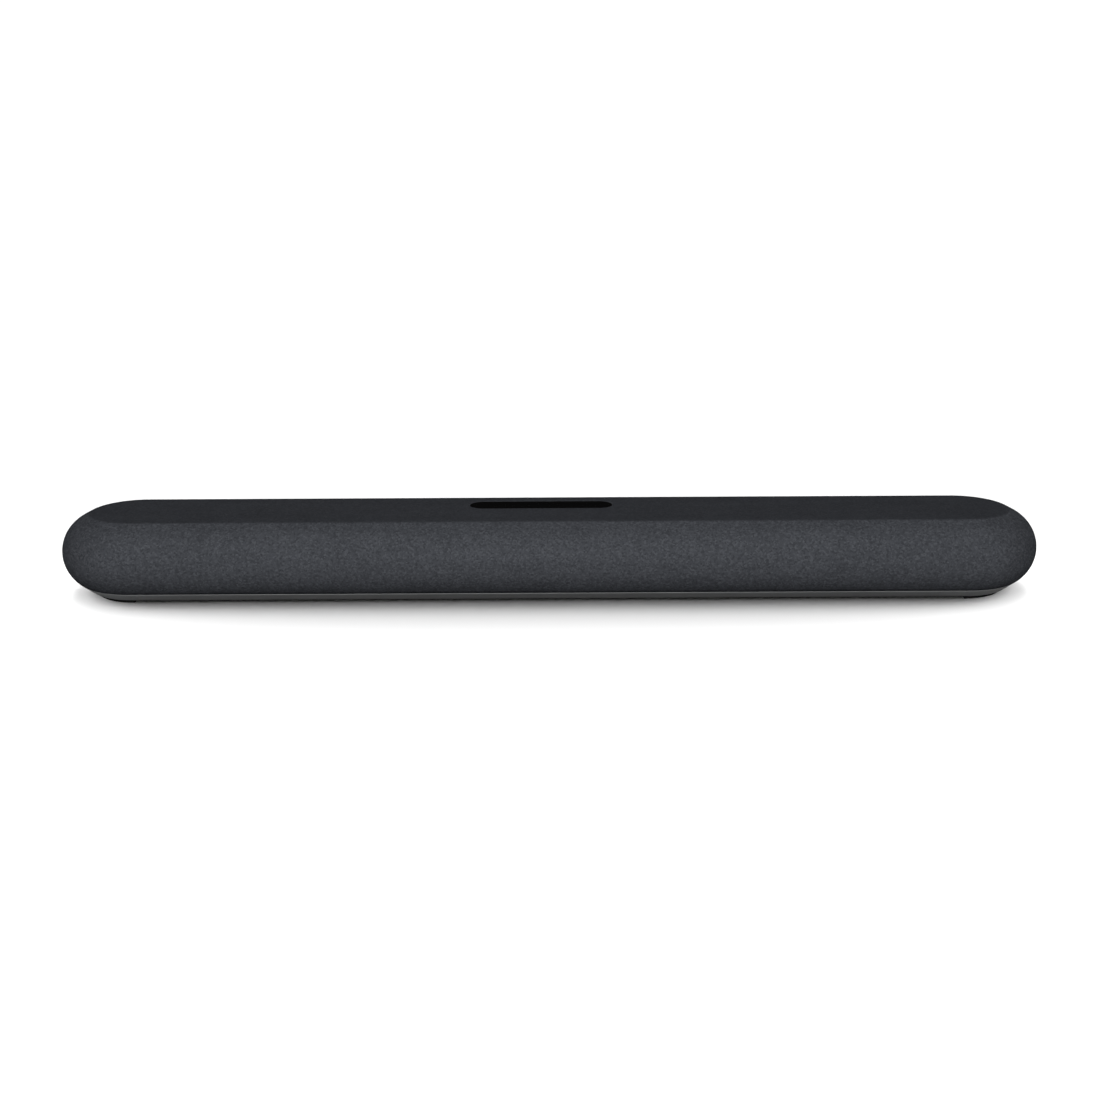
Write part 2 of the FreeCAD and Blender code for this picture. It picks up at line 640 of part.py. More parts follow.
def speaker_box(name):
    x0, x1, rear = box_spans()[name]
    outside = box((x0, x1), (BOX_FRONT, rear - BOX_WALL), (BOX_LOW, BOX_TOP))
    inside_z = (BOX_LOW + BOX_WALL, BOX_TOP - BOX_WALL)
    inside = box((x0 + BOX_WALL, x1 - BOX_WALL), (BOX_FRONT + BOX_WALL, rear), inside_z)
    shape = outside.cut(inside)
    basket = racetrack(
        WOOFER_LENGTH - 2 * FLANGE_W + 2 * BASKET_T + FIT,
        WOOFER_WIDTH - 2 * FLANGE_W + 2 * BASKET_T + FIT,
        (-2 * BOX_WALL, BOX_WALL),
    )
    middle = woofer_places()[name]
    cuts = [facing_front(basket, middle, DRIVER_Z)]
    woofer_screws = driver_screws_of(WOOFER_LENGTH, WOOFER_WIDTH)
    pilots = [(middle + x, DRIVER_Z + y) for x, y in woofer_screws]
    if name in SIDES:
        side = SIDES[name]
        can = racetrack(2 * TWEETER_CAN_R + FIT, 2 * TWEETER_CAN_R + FIT, (-2 * BOX_WALL, BOX_WALL))
        cuts.append(facing_front(can, side * TWEETER_X, DRIVER_Z))
        pilots += [(side * TWEETER_X + x, DRIVER_Z + y) for x, y in tweeter_screws()]
        skirt = racetrack(
            RADIATOR_LENGTH - 2 * RADIATOR_FLANGE_W + 2 * RADIATOR_SKIRT_T + FIT,
            RADIATOR_WIDTH - 2 * RADIATOR_FLANGE_W + 2 * RADIATOR_SKIRT_T + FIT,
            (-2 * BOX_WALL, BOX_WALL),
        )
        cuts.append(facing_up(skirt, side * RADIATOR_X, BOX_TOP))
        for dx, y in radiator_screws():
            x = side * RADIATOR_X + dx
            tip = BOX_TOP - RADIATOR_SCREW_LENGTH
            cuts.append(rod(DRIVER_SCREW_R + TOUCHING, (x, y, tip), (x, y, BOX_TOP)))
    for x, z in pilots:
        cuts.append(rod(DRIVER_SCREW_R + TOUCHING, (x, BOX_FRONT, z), (x, BOX_FRONT + DRIVER_PILOT, z)))
    bosses = []
    inside_low = BOX_LOW + BOX_WALL
    for x, y in box_posts():
        if x0 < x < x1 and BOX_FRONT < y < rear:
            bosses.append(rod(POST_R, (x, y, inside_low - BOX_WALL / 2), (x, y, inside_low + BOSS_RISE)))
            top = inside_low + BOSS_RISE - BOSS_CAP
            cuts.append(rod(SCREW_R + TOUCHING, (x, y, BOX_LOW - 1), (x, y, top)))
    return shape.fuse(bosses).cut(cuts)


def box_lid(name):
    x0, x1, rear = box_spans()[name]
    plate = box((x0, x1), (rear - BOX_WALL, rear), (BOX_LOW, BOX_TOP))
    inner = BOX_WALL + FIT
    rib_y = (rear - 2 * BOX_WALL, rear - BOX_WALL)
    rib = box((x0 + inner, x1 - inner), rib_y, (BOX_LOW + inner, BOX_TOP - inner))
    both = 2 * inner
    rib_hole = box((x0 + both, x1 - both), rib_y, (BOX_LOW + both, BOX_TOP - both))
    return plate.fuse(rib.cut(rib_hole))


def screw_holes(places, thickness):
    """Clearance holes through a driver's flange."""
    radius = DRIVER_SCREW_R + DRIVER_SCREW_HOLE
    return [rod(radius, (x, y, 0), (x, y, thickness)) for x, y in places]


# ---- Woofers, each made facing +Z around its own axis ----
def woofer_basket():
    opening = (WOOFER_LENGTH - 2 * FLANGE_W, WOOFER_WIDTH - 2 * FLANGE_W)
    outer = (opening[0] + 2 * BASKET_T, opening[1] + 2 * BASKET_T)
    floor = -BASKET_DEPTH
    flange_z = (0, FLANGE_T)
    flange = racetrack(WOOFER_LENGTH, WOOFER_WIDTH, flange_z).cut(racetrack(*opening, flange_z))
    wall = racetrack(*outer, (floor - BACK_T, 0)).cut(racetrack(*opening, (floor, 0)))
    landing = tube(SPIDER_R + 0.5, SPIDER_R - LANDING_W, (0, 0, floor), (0, 0, floor + SPIDER_LIFT))
    coil_hole = rod(FORMER_R + COIL_T + 2 * AIR_GAP, (0, 0, floor - BACK_T), (0, 0, floor))
    vents = []
    for side in (-1, 1):
        vent = racetrack(opening[1] - 8, 12, (floor - BACK_T, floor))
        vent.rotate(Vector(0, 0, 0), Z_AXIS, 90)
        vent.translate(Vector(side * (SPIDER_R + 10), 0, 0))
        vents.append(vent)
    holes = screw_holes(driver_screws_of(WOOFER_LENGTH, WOOFER_WIDTH), FLANGE_T)
    return flange.fuse([wall, landing]).cut([coil_hole] + vents + holes)


def woofer_magnet():
    """Front plate, magnet ring, and back plate with its pole: three solids stacked face to face."""
    top = -BASKET_DEPTH - BACK_T
    ring_top = top - PLATE_T
    ring_low = ring_top - MAGNET_T
    gap_outer = FORMER_R + COIL_T + AIR_GAP
    front = tube(PLATE_R, gap_outer, (0, 0, ring_top), (0, 0, top))
    magnet = tube(MAGNET_R, MAGNET_BORE, (0, 0, ring_low), (0, 0, ring_top))
    back = rod(PLATE_R, (0, 0, ring_low - PLATE_T), (0, 0, ring_low))
    pole = rod(FORMER_R - FORMER_T - AIR_GAP, (0, 0, ring_low - 1), (0, 0, top))
    return Part.makeCompound([front, magnet, back.fuse(pole)])


def cone_edge():
    shrink = 2 * FLANGE_W + 4 * ROLL_R
    return WOOFER_LENGTH - shrink, WOOFER_WIDTH - shrink


def woofer_cone():
    """Cone, dust cap, voice coil former and coil, which move as one piece."""
    length, width = cone_edge()
    neck = 2 * FORMER_R
    wall = 2 * CONE_T
    outer = racetrack_loft((neck + 0.1, neck, -CONE_DEPTH), (length, width, 0))
    inner_low = (neck + 0.1 - wall, neck - wall, -CONE_DEPTH)
    inner = racetrack_loft(inner_low, (length - wall, width - wall, 0))
    low = -BASKET_DEPTH - BACK_T - PLATE_T - MAGNET_T + WOOFER_TRAVEL + 0.5
    former = tube(FORMER_R, FORMER_R - FORMER_T, (0, 0, low), (0, 0, -CONE_DEPTH))
    middle = -BASKET_DEPTH - BACK_T - PLATE_T / 2
    coil = tube(FORMER_R + COIL_T, FORMER_R, (0, 0, middle - COIL_HALF), (0, 0, middle + COIL_HALF))
    cap_r = FORMER_R - 0.1
    ball_r = (cap_r**2 + CAP_RISE**2) / (2 * CAP_RISE)
    centre = Vector(0, 0, -CONE_DEPTH + CAP_RISE - ball_r)
    cap = Part.makeSphere(ball_r, centre).cut(Part.makeSphere(ball_r - CONE_T, centre))
    cap = cap.common(rod(cap_r, (0, 0, -CONE_DEPTH), (0, 0, 0)))
    return outer.cut(inner).fuse([former, coil, cap])


def woofer_suspension():
    """The rubber roll around the cone and the spider around its neck, two separate solids."""
    length, width = cone_edge()
    roll = half_roll(length + 2 * ROLL_R, width + 2 * ROLL_R, ROLL_R, ROLL_T, 0, 1)
    landing = -BASKET_DEPTH + SPIDER_LIFT
    spider = tube(SPIDER_R, FORMER_R, (0, 0, landing), (0, 0, landing + SPIDER_T))
    return Part.makeCompound([roll, spider])


# ---- Tweeters ----
def tweeter_body():
    flange = rod(TWEETER_R, (0, 0, 0), (0, 0, FLANGE_T))
    can = rod(TWEETER_CAN_R, (0, 0, -TWEETER_CAN_DEPTH), (0, 0, 0))
    floor = (0, 0, TWEETER_FLOOR)
    mouth = rod(DOME_R + 1, floor, (0, 0, FLANGE_T))
    groove_low = (0, 0, TWEETER_FLOOR - DOME_SKIRT - 1)
    groove = tube(DOME_R + DOME_GAP, DOME_R - DOME_T - DOME_GAP, groove_low, floor)
    return flange.fuse(can).cut([mouth, groove] + screw_holes(tweeter_screws(), FLANGE_T))


def tweeter_dome():
    ball_r = (DOME_R**2 + DOME_RISE**2) / (2 * DOME_RISE)
    centre = Vector(0, 0, DOME_REST + DOME_RISE - ball_r)
    cap = Part.makeSphere(ball_r, centre).cut(Part.makeSphere(ball_r - DOME_T, centre))
    cap = cap.common(rod(DOME_R, (0, 0, DOME_REST), (0, 0, 2 * DOME_RISE)))
    skirt = tube(DOME_R, DOME_R - DOME_T, (0, 0, DOME_REST - DOME_SKIRT), (0, 0, DOME_REST))
    return cap.fuse(skirt)


# ---- Passive radiators ----
def radiator_opening():
    return RADIATOR_LENGTH - 2 * RADIATOR_FLANGE_W, RADIATOR_WIDTH - 2 * RADIATOR_FLANGE_W


def radiator_frame():
    opening = radiator_opening()
    skirt = (opening[0] + 2 * RADIATOR_SKIRT_T, opening[1] + 2 * RADIATOR_SKIRT_T)
    shape = racetrack(RADIATOR_LENGTH, RADIATOR_WIDTH, (0, RADIATOR_FLANGE_T))
    shape = shape.fuse(racetrack(*skirt, (-RADIATOR_SKIRT, 0)))
    through = racetrack(*opening, (-RADIATOR_SKIRT, RADIATOR_FLANGE_T))
    return shape.cut([through] + screw_holes(radiator_screws(), RADIATOR_FLANGE_T))


def radiator_plate():
    opening = radiator_opening()
    top = RADIATOR_FLANGE_T - 0.7
    size = (opening[0] - 4 * RADIATOR_ROLL_R, opening[1] - 4 * RADIATOR_ROLL_R)
    plate = racetrack(*size, (top - RADIATOR_PLATE_T, top))
    dish = racetrack(size[0] - 10, size[1] - 10, (top - 0.8, top))
    return plate.cut(dish)


def radiator_surround():
    opening = radiator_opening()
    size = (opening[0] - 2 * RADIATOR_ROLL_R, opening[1] - 2 * RADIATOR_ROLL_R)
    return half_roll(*size, RADIATOR_ROLL_R, RADIATOR_ROLL_T, RADIATOR_FLANGE_T - 0.9, -1)


def driver_screw(length, seat):
    """A screw pointing down, its head on a flange whose top is at height seat."""
    shank = rod(DRIVER_SCREW_R, (0, 0, seat - length), (0, 0, seat))
    top = seat + DRIVER_SCREW_HEAD_T
    head = rod(DRIVER_SCREW_HEAD_R, (0, 0, seat), (0, 0, top))
    recess = rod(DRIVER_SCREW_HEAD_R / 2, (0, 0, top - DRIVER_SCREW_HEAD_T / 2), (0, 0, top))
    return shank.fuse(head).cut(recess)


def driver_screws():
    """All the screws that hold drivers and radiators to the boxes."""
    screw = driver_screw(DRIVER_SCREW_LENGTH, FLANGE_T)
    short_screw = driver_screw(RADIATOR_SCREW_LENGTH, RADIATOR_FLANGE_T)
    screws = []
    for x in woofer_places().values():
        for dx, dy in driver_screws_of(WOOFER_LENGTH, WOOFER_WIDTH):
            screws.append(facing_front(screw, x + dx, DRIVER_Z + dy))
    for side in SIDES.values():
        for dx, dy in tweeter_screws():
            screws.append(facing_front(screw, side * TWEETER_X + dx, DRIVER_Z + dy))
        for dx, dy in radiator_screws():
            placed = short_screw.copy()
            placed.translate(Vector(side * RADIATOR_X + dx, dy, BOX_TOP))
            screws.append(placed)
    return Part.makeCompound(screws)


# ---- Rear panel and connector bay ----
def rear_panel():
    window = window_box(-FIT)
    behind = SHELL_IN + SKIN_GAP
    skin = pill(PANEL_SUNK, SHELL_LOW).cut(pill(behind, CAVITY_LOW)).common(window)
    flange_box = box(
        (-WINDOW_HALF - PANEL_FLANGE, WINDOW_HALF + PANEL_FLANGE),
        (END_R / 3, FAR),
        (CAVITY_LOW + 1, WINDOW_Z[1] + PANEL_FLANGE / 2),
    )
    inside = behind + PANEL_FLANGE_T
    flange = pill(behind, CAVITY_LOW).cut(pill(inside, CAVITY_LOW + 0.4)).common(flange_box)
    bay_out = box(
        (-BAY_HALF - BAY_WALL, BAY_HALF + BAY_WALL),
        (BAY_Y - BAY_WALL, FAR),
        (BAY_Z[0] - BAY_WALL, BAY_Z[1] + BAY_WALL),
    )
    bay_out = bay_out.common(pill(PANEL_SUNK, SHELL_LOW))
    bay = rounded_box((-BAY_HALF, BAY_HALF), (BAY_Y, FAR), BAY_Z, BAY_CORNER)
    edge = PLATE_EDGE + 3
    through = box((-BAY_HALF + edge, BAY_HALF - edge), (0, BAY_Y), (BAY_Z[0] + 1.5, BAY_Z[1] - edge))
    panel = skin.fuse([flange, bay_out])
    for side in (-1, 1):
        x = side * INSERT_X
        face = (x, INSERT_Y, BULGE_Z)
        bottom = (x, INSERT_Y - INSERT_LENGTH, BULGE_Z)
        boss = rod(INSERT_PAD_R, (x, INSERT_Y - INSERT_LENGTH - BAY_WALL, BULGE_Z), face)
        recess = rod(INSERT_PAD_R, face, (x, END_R + 1, BULGE_Z))
        panel = panel.fuse(boss).cut([recess, rod(INSERT_R, bottom, face)])
    return panel.cut([bay, through])


def wall_mount_inserts():
    inserts = []
    for side in (-1, 1):
        x = side * INSERT_X
        bottom = (x, INSERT_Y - INSERT_LENGTH, BULGE_Z)
        inserts.append(tube(INSERT_R, INSERT_BORE, bottom, (x, INSERT_Y, BULGE_Z)))
    return Part.makeCompound(inserts)


def socket_body(spec, z=BOARD_TOP):
    x, width, height, depth = spec
    return box((x - width / 2, x + width / 2), (SOCKET_REAR - depth, SOCKET_REAR), (z, z + height))


def connector_plate():
    x = (-BAY_HALF + PLATE_EDGE, BAY_HALF - PLATE_EDGE)
    z = (BAY_Z[0] + PLATE_LOW_EDGE, BAY_Z[1] - PLATE_EDGE)
    plate = rounded_box(x, (BAY_Y, PLATE_REAR), z, BAY_CORNER)
    cuts = []
    gap = FIT / 2
    for x, width, height, _ in (POWER, HDMI, OPTICAL, NETWORK, USB):
        half = width / 2 + gap
        cuts.append(box((x - half, x + half), (0, FAR), (BOARD_TOP - gap, BOARD_TOP + height + gap)))
    z = BOARD_TOP + BUTTON_LIFT
    for x in BUTTONS.values():
        cuts.append(rod(BUTTON_R + BUTTON_CLEARANCE, (x, 0, z), (x, 2 * BAY_Y, z)))
    return plate.cut(cuts)


def power_inlet():
    x, _, height, _ = POWER
    z = BOARD_TOP + height / 2
    length, width, depth = INLET_THROAT
    throat = racetrack(length, width, (0, depth))
    throat.rotate(Vector(0, 0, 0), X_AXIS, 90)
    throat.translate(Vector(x, SOCKET_REAR, z))
    body = socket_body(POWER).cut(throat)
    pins = []
    for pin_x in (x - INLET_PIN_X, x + INLET_PIN_X):
        root = (pin_x, SOCKET_REAR - depth - 1, z)
        pins.append(rod(INLET_PIN_R, root, (pin_x, SOCKET_REAR - 3, z)))
    return body.fuse(pins)


def tongue_socket(spec, cavity, tongue, reach):
    """A metal-shelled socket with a flat contact tongue in the middle of its mouth."""
    x, _, height, _ = spec
    z = BOARD_TOP + height / 2

    def bar(size, y):
        return box((x - size[0] / 2, x + size[0] / 2), y, (z - size[1] / 2, z + size[1] / 2))

    mouth = bar(cavity, (SOCKET_REAR - reach, FAR))
    blade = bar(tongue, (SOCKET_REAR - reach - 1, SOCKET_REAR - 1.5))
    return socket_body(spec).cut(mouth).fuse(blade)


def hdmi_socket():
    return tongue_socket(HDMI, (14.0, 4.6), (11.2, 1.2), 10)


def usb_socket():
    return tongue_socket(USB, (12.6, 5.2), (11.0, 1.6), 11)


def optical_socket():
    x, _, height, _ = OPTICAL
    z = BOARD_TOP + height / 2
    half = OPTICAL_MOUTH / 2
    mouth = box((x - half, x + half), (SOCKET_REAR - 9, FAR), (z - half, z + half))
    return socket_body(OPTICAL).cut(mouth)


def network_socket():
    x = NETWORK[0]
    low = BOARD_TOP + 1.4
    width, height, depth = NETWORK_MOUTH
    y = (SOCKET_REAR - depth, FAR)
    mouth = box((x - width / 2, x + width / 2), y, (low, low + height))
    latch = box((x - NETWORK_LATCH / 2, x + NETWORK_LATCH / 2), y, (low + height - 0.2, low + 10))
    return socket_body(NETWORK).cut([mouth, latch])


def rear_button(x):
    z = BOARD_TOP + BUTTON_LIFT
    tip = PLATE_REAR + BUTTON_PROUD
    cap = rod(BUTTON_R, (x, BAY_Y - COLLAR_T, z), (x, tip, z))
    rim = [e for e in cap.Edges if abs(e.CenterOfMass.y - tip) < FIT]
    cap = cap.makeFillet(BUTTON_EDGE, rim)
    collar = rod(COLLAR_R, (x, BAY_Y - FIT - COLLAR_T, z), (x, BAY_Y - FIT, z))
    stem = rod(STEM_R, (x, tip - BUTTON_LENGTH, z), (x, BAY_Y, z))
    return cap.fuse([collar, stem])


def button_switches():
    """The two push switches on the boards behind the buttons."""
    z = BOARD_TOP + BUTTON_LIFT
    front = PLATE_REAR + BUTTON_PROUD - BUTTON_LENGTH - BUTTON_TRAVEL - FIT
    half = SWITCH_SIZE / 2
    y = (front - SWITCH_DEPTH, front)
    return [box((x - half, x + half), y, (BOARD_TOP, z + half)) for x in BUTTONS.values()]


# ---- Boards ----
def main_board():
    x = (BOARD_SPLIT + BOARD_SEAM / 2, BOARD_SIDE)
    return box(x, (BOARD_FRONT, BOARD_REAR), (BOARD_Z, BOARD_TOP))


def power_board():
    x = (-BOARD_SIDE, BOARD_SPLIT - BOARD_SEAM / 2)
    return box(x, (BOARD_FRONT, BOARD_REAR), (BOARD_Z, BOARD_TOP))


def board_parts():
    """Chips, a ribbon connector and the push switches, each seated on a board."""
    y = BOARD_FRONT
    amplifier_x = (HEATSINK_X[0] + 4, HEATSINK_X[1] - 4)
    amplifier_y = (y + HEATSINK_Y[0] + 1, y + HEATSINK_Y[1] - 1)
    flat = (BOARD_TOP, BOARD_TOP + FLAT_CHIP_T)
    amplifier = box(amplifier_x, amplifier_y, (BOARD_TOP, BOARD_TOP + CHIP_T))
    processor = box((-16, -1), (y + 8, y + 20), flat)
    radio = box((84, 100), (y + 3, y + 14), flat)
    ribbon_plug = box((2, 18), (y + 2, y + 6), (BOARD_TOP, BOARD_TOP + RIBBON_PLUG_T))
    return Part.makeCompound([amplifier, processor, radio, ribbon_plug] + button_switches())


def heatsink():
    y = (BOARD_FRONT + HEATSINK_Y[0], BOARD_FRONT + HEATSINK_Y[1])
    low = BOARD_TOP + CHIP_T
    top = low + HEATSINK_RISE
    block = box(HEATSINK_X, y, (low, top))
    pitch = (HEATSINK_X[1] - HEATSINK_X[0]) / FIN_COUNT
    gaps = []
    for i in range(FIN_COUNT):
        x = HEATSINK_X[0] + (i + 0.4) * pitch
        gaps.append(box((x, x + pitch / 2), (y[0] - 1, y[1] + 1), (low + HEATSINK_FOOT, top + 1)))
    return block.cut(gaps)


def power_parts():
    """Transformer and capacitors, each seated on the power board."""
    y = BOARD_FRONT
    top = BOARD_TOP
    core = box(TRANSFORMER_X, (y + 3, y + 19), (top, top + TRANSFORMER_RISE))
    coil_x = (TRANSFORMER_X[0] + 4, TRANSFORMER_X[1] - 4)
    coil = box(coil_x, (y + 1, y + 3), (top + 3, top + TRANSFORMER_RISE - 3))
    capacitors = []
    for x in (-101, -88):
        capacitors.append(rod(LARGE_CAPACITOR_R, (x, y + 6, top), (x, y + 6, top + LARGE_CAPACITOR_RISE)))
    for x in (-34, -26):
        capacitors.append(rod(SMALL_CAPACITOR_R, (x, y + 6, top), (x, y + 6, top + SMALL_CAPACITOR_RISE)))
    return Part.makeCompound([core.fuse(coil)] + capacitors)


def display_ribbon():
    """The flat cable from the touch board's plug down to the main board."""
    x = (TOUCH_X + RIBBON_X[0], TOUCH_X + RIBBON_X[1])
    top = HOLDER_LOW - BOARD_T - TOUCH_PLUG_T
    run_y = CENTRE_REAR + 1.2
    low = BOARD_TOP + RIBBON_PLUG_T
    upper = box(x, sorted((run_y, TOUCH_Y - 6)), (top - RIBBON_T, top))
    drop = box(x, (run_y, run_y + RIBBON_T), (low, top))
    lower = box(x, (run_y, BOARD_FRONT + 5), (low, low + RIBBON_T))
    return upper.fuse([drop, lower])


def antennas():
    """A small upright board in each round end, with its trace standing proud of it."""
    plates = []
    half = ANTENNA_T / 2
    far_end = END_X + OPENING_R - LIP_T - ANTENNA_GAP
    for side in (-1, 1):
        x = sorted([side * (far_end - ANTENNA_LENGTH), side * far_end])
        board = box(x, (-half, half), (FLOOR_Z, FLOOR_Z + ANTENNA_RISE))
        trace_z = (FLOOR_Z + ANTENNA_RISE - 7, FLOOR_Z + ANTENNA_RISE - 2)
        trace = box((x[0] + 2, x[1] - 2), (half, half + 0.3), trace_z)
        plates.append(board.fuse(trace))
    return Part.makeCompound(plates)


def speaker_wires():
    """A pair of leads from the main board's underside to each side box."""
    wires = []
    bend_z = WIRE_Z + WIRE_BEND
    mid_bend = WIRE_BEND * (1 - math.sqrt(0.5))
    for side in (-1, 1):
        near, far = side * WIRE_START_X, side * (BOX_INNER_X + 5)
        bend, half = side * WIRE_BEND, side * mid_bend
        for y in (BOARD_FRONT + 10, BOARD_FRONT + 13):
            top, down_end = Vector(near, y, BOARD_Z), Vector(near, y, bend_z)
            run_start, run_end = Vector(near + bend, y, WIRE_Z), Vector(far - bend, y, WIRE_Z)
            up_start, up_end = Vector(far, y, bend_z), Vector(far, y, BOX_LOW)
            near_bend = Part.Arc(down_end, Vector(near + half, y, WIRE_Z + mid_bend), run_start)
            far_bend = Part.Arc(run_end, Vector(far - half, y, WIRE_Z + mid_bend), up_start)
            path = Part.Wire(
                [
                    Part.makeLine(top, down_end),
                    near_bend.toShape(),
                    Part.makeLine(run_start, run_end),
                    far_bend.toShape(),
                    Part.makeLine(up_start, up_end),
                ]
            )
            circle = Part.Wire([Part.makeCircle(WIRE_R, top, Z_AXIS)])
            wires.append(path.makePipeShell([circle], True, False))
    return Part.makeCompound(wires)


# ---- All nodes ----
def nodes():
    made = {
        "fabric_cover": fabric_cover(),
        "grille_shell": grille_shell(),
        "seam_gasket": seam_gasket(),
        "base_cover": base_cover(),
        "case_screws": case_screws(),
        "touch_glass": touch_glass(),
        "display_holder": display_holder(),
        "display_module": display_module(),
        "touch_board": touch_board(),
        "rear_panel": rear_panel(),
        "wall_mount_inserts": wall_mount_inserts(),
        "connector_plate": connector_plate(),
        "power_inlet": power_inlet(),
        "hdmi_socket": hdmi_socket(),
        "optical_socket": optical_socket(),
        "network_socket": network_socket(),
        "usb_socket": usb_socket(),
        "main_board": main_board(),
        "power_board": power_board(),
        "board_parts": board_parts(),
        "heatsink": heatsink(),
        "power_parts": power_parts(),
        "display_ribbon": display_ribbon(),
        "antennas": antennas(),
        "speaker_wires": speaker_wires(),
        "driver_screws": driver_screws(),
    }
    for name, x in BUTTONS.items():
        made[name + "_button"] = rear_button(x)
    for name, side in SIDES.items():
        made["foot_" + name] = foot(side)
        x = side * TWEETER_X
        made["tweeter_body_" + name] = facing_front(tweeter_body(), x, DRIVER_Z)
        made["tweeter_dome_" + name] = facing_front(tweeter_dome(), x, DRIVER_Z)
        x = side * RADIATOR_X
        made["radiator_frame_" + name] = facing_up(radiator_frame(), x, BOX_TOP)
        made["radiator_plate_" + name] = facing_up(radiator_plate(), x, BOX_TOP)
        made["radiator_surround_" + name] = facing_up(radiator_surround(), x, BOX_TOP)
    for name, x in woofer_places().items():
        made["speaker_box_" + name] = speaker_box(name)
        made["box_lid_" + name] = box_lid(name)
        made["woofer_basket_" + name] = facing_front(woofer_basket(), x, DRIVER_Z)
        made["woofer_magnet_" + name] = facing_front(woofer_magnet(), x, DRIVER_Z)
        made["woofer_cone_" + name] = facing_front(woofer_cone(), x, DRIVER_Z)
        made["woofer_suspension_" + name] = facing_front(woofer_suspension(), x, DRIVER_Z)
    return made


def main():
    os.makedirs("parts", exist_ok=True)
    for name, shape in nodes().items():
        shape.exportStep(f"parts/{name}.step")
        state = "" if shape.isValid() else "  INVALID"
        print(f"{name}: {len(shape.Solids)} solids, {shape.Volume:.0f} mm3{state}")


main()
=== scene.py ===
"""Looks of the compact soundbar: its fabric cover, the materials of every part, and a plain studio.

The bar's form is worked out in millimetres. Everything else, and all that is placed in Blender, is in
metres.
"""

import math

import bmesh
import bpy
from mathutils import Matrix, Vector
from mathutils.geometry import delaunay_2d_cdt


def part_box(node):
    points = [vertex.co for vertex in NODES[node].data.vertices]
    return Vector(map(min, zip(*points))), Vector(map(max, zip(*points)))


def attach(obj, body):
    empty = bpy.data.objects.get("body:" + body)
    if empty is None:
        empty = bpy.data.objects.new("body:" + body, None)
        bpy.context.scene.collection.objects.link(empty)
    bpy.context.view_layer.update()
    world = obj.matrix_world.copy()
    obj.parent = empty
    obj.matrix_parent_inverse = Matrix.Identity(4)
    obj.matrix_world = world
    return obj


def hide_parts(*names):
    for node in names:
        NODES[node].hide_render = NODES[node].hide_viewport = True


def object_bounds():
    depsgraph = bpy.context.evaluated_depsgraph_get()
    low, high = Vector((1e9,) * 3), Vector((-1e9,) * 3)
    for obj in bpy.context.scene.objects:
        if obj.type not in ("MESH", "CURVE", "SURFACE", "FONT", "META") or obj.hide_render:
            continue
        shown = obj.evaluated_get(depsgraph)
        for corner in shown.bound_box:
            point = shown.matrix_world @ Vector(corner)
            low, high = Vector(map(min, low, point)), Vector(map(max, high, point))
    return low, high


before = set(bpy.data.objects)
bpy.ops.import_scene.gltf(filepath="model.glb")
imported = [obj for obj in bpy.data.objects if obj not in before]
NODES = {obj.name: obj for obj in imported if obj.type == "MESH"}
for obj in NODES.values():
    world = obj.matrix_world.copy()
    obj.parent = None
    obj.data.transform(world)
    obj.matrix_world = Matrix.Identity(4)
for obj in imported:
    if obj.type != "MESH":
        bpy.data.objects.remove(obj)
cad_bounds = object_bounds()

MM = 0.001


def box_mm(corners):
    """A box's low and high corners in millimetres, to a tenth, as round ends are meshed a little short."""
    return [tuple(round(value / MM, 1) for value in corner) for corner in corners]


# ---- The bar's form, in millimetres ----
LENGTH, DEPTH, HEIGHT = (high - low for low, high in zip(*box_mm(cad_bounds)))
BULGE_Z = 35.5  # height at which the flank stands out furthest
TOP_INSET = 24.0
FLANK_SHARE = 0.83  # how much of a single arc's turn the flank makes before it runs on straight
SEAM_Z = box_mm(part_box("seam_gasket"))[0][2]
SEAM_INSET = 12.6
FABRIC_LOW = box_mm(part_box("fabric_cover"))[0][2]
CREST_ROUND = 2.0
FABRIC_T = 0.95  # just under the CAD solid's, so that the cloth clears the shell
END_R = DEPTH / 2
END_X = LENGTH / 2 - END_R
GLASS_GAP = 0.3
GLASS_LOW, GLASS_HIGH = box_mm(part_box("touch_glass"))
PILL_LENGTH, PILL_WIDTH, _ = (high - low + 2 * GLASS_GAP for low, high in zip(GLASS_LOW, GLASS_HIGH))
PILL_X, PILL_Y, _ = ((high + low) / 2 for low, high in zip(GLASS_LOW, GLASS_HIGH))
WINDOW_HALF, WINDOW_Z, WINDOW_CORNER = 240.0, (17.0, 54.0), 7.0
WINDOW_FRAME = 20.0  # how far past the window the patch round it reaches
EDGE_ROUND = 0.3  # the cloth's cut edges

# ---- The cover's mesh ----
GRID = 5.0  # spacing, in millimetres
END_STEPS = 40
CREST_STEPS = 6
UPPER_STEPS = 14
LOWER_STEPS = 12
CORNER_STEPS = 8
PILL_STEPS = 14
WINDOW_CLEAR_X, WINDOW_CLEAR_Z = 1.5, 1.2  # the grid's points stay this far from the window
TOP_CLEAR = 2  # and this far from the flat top's edge and the touch panel
BACK = math.radians(90)  # the turn of the columns along the back


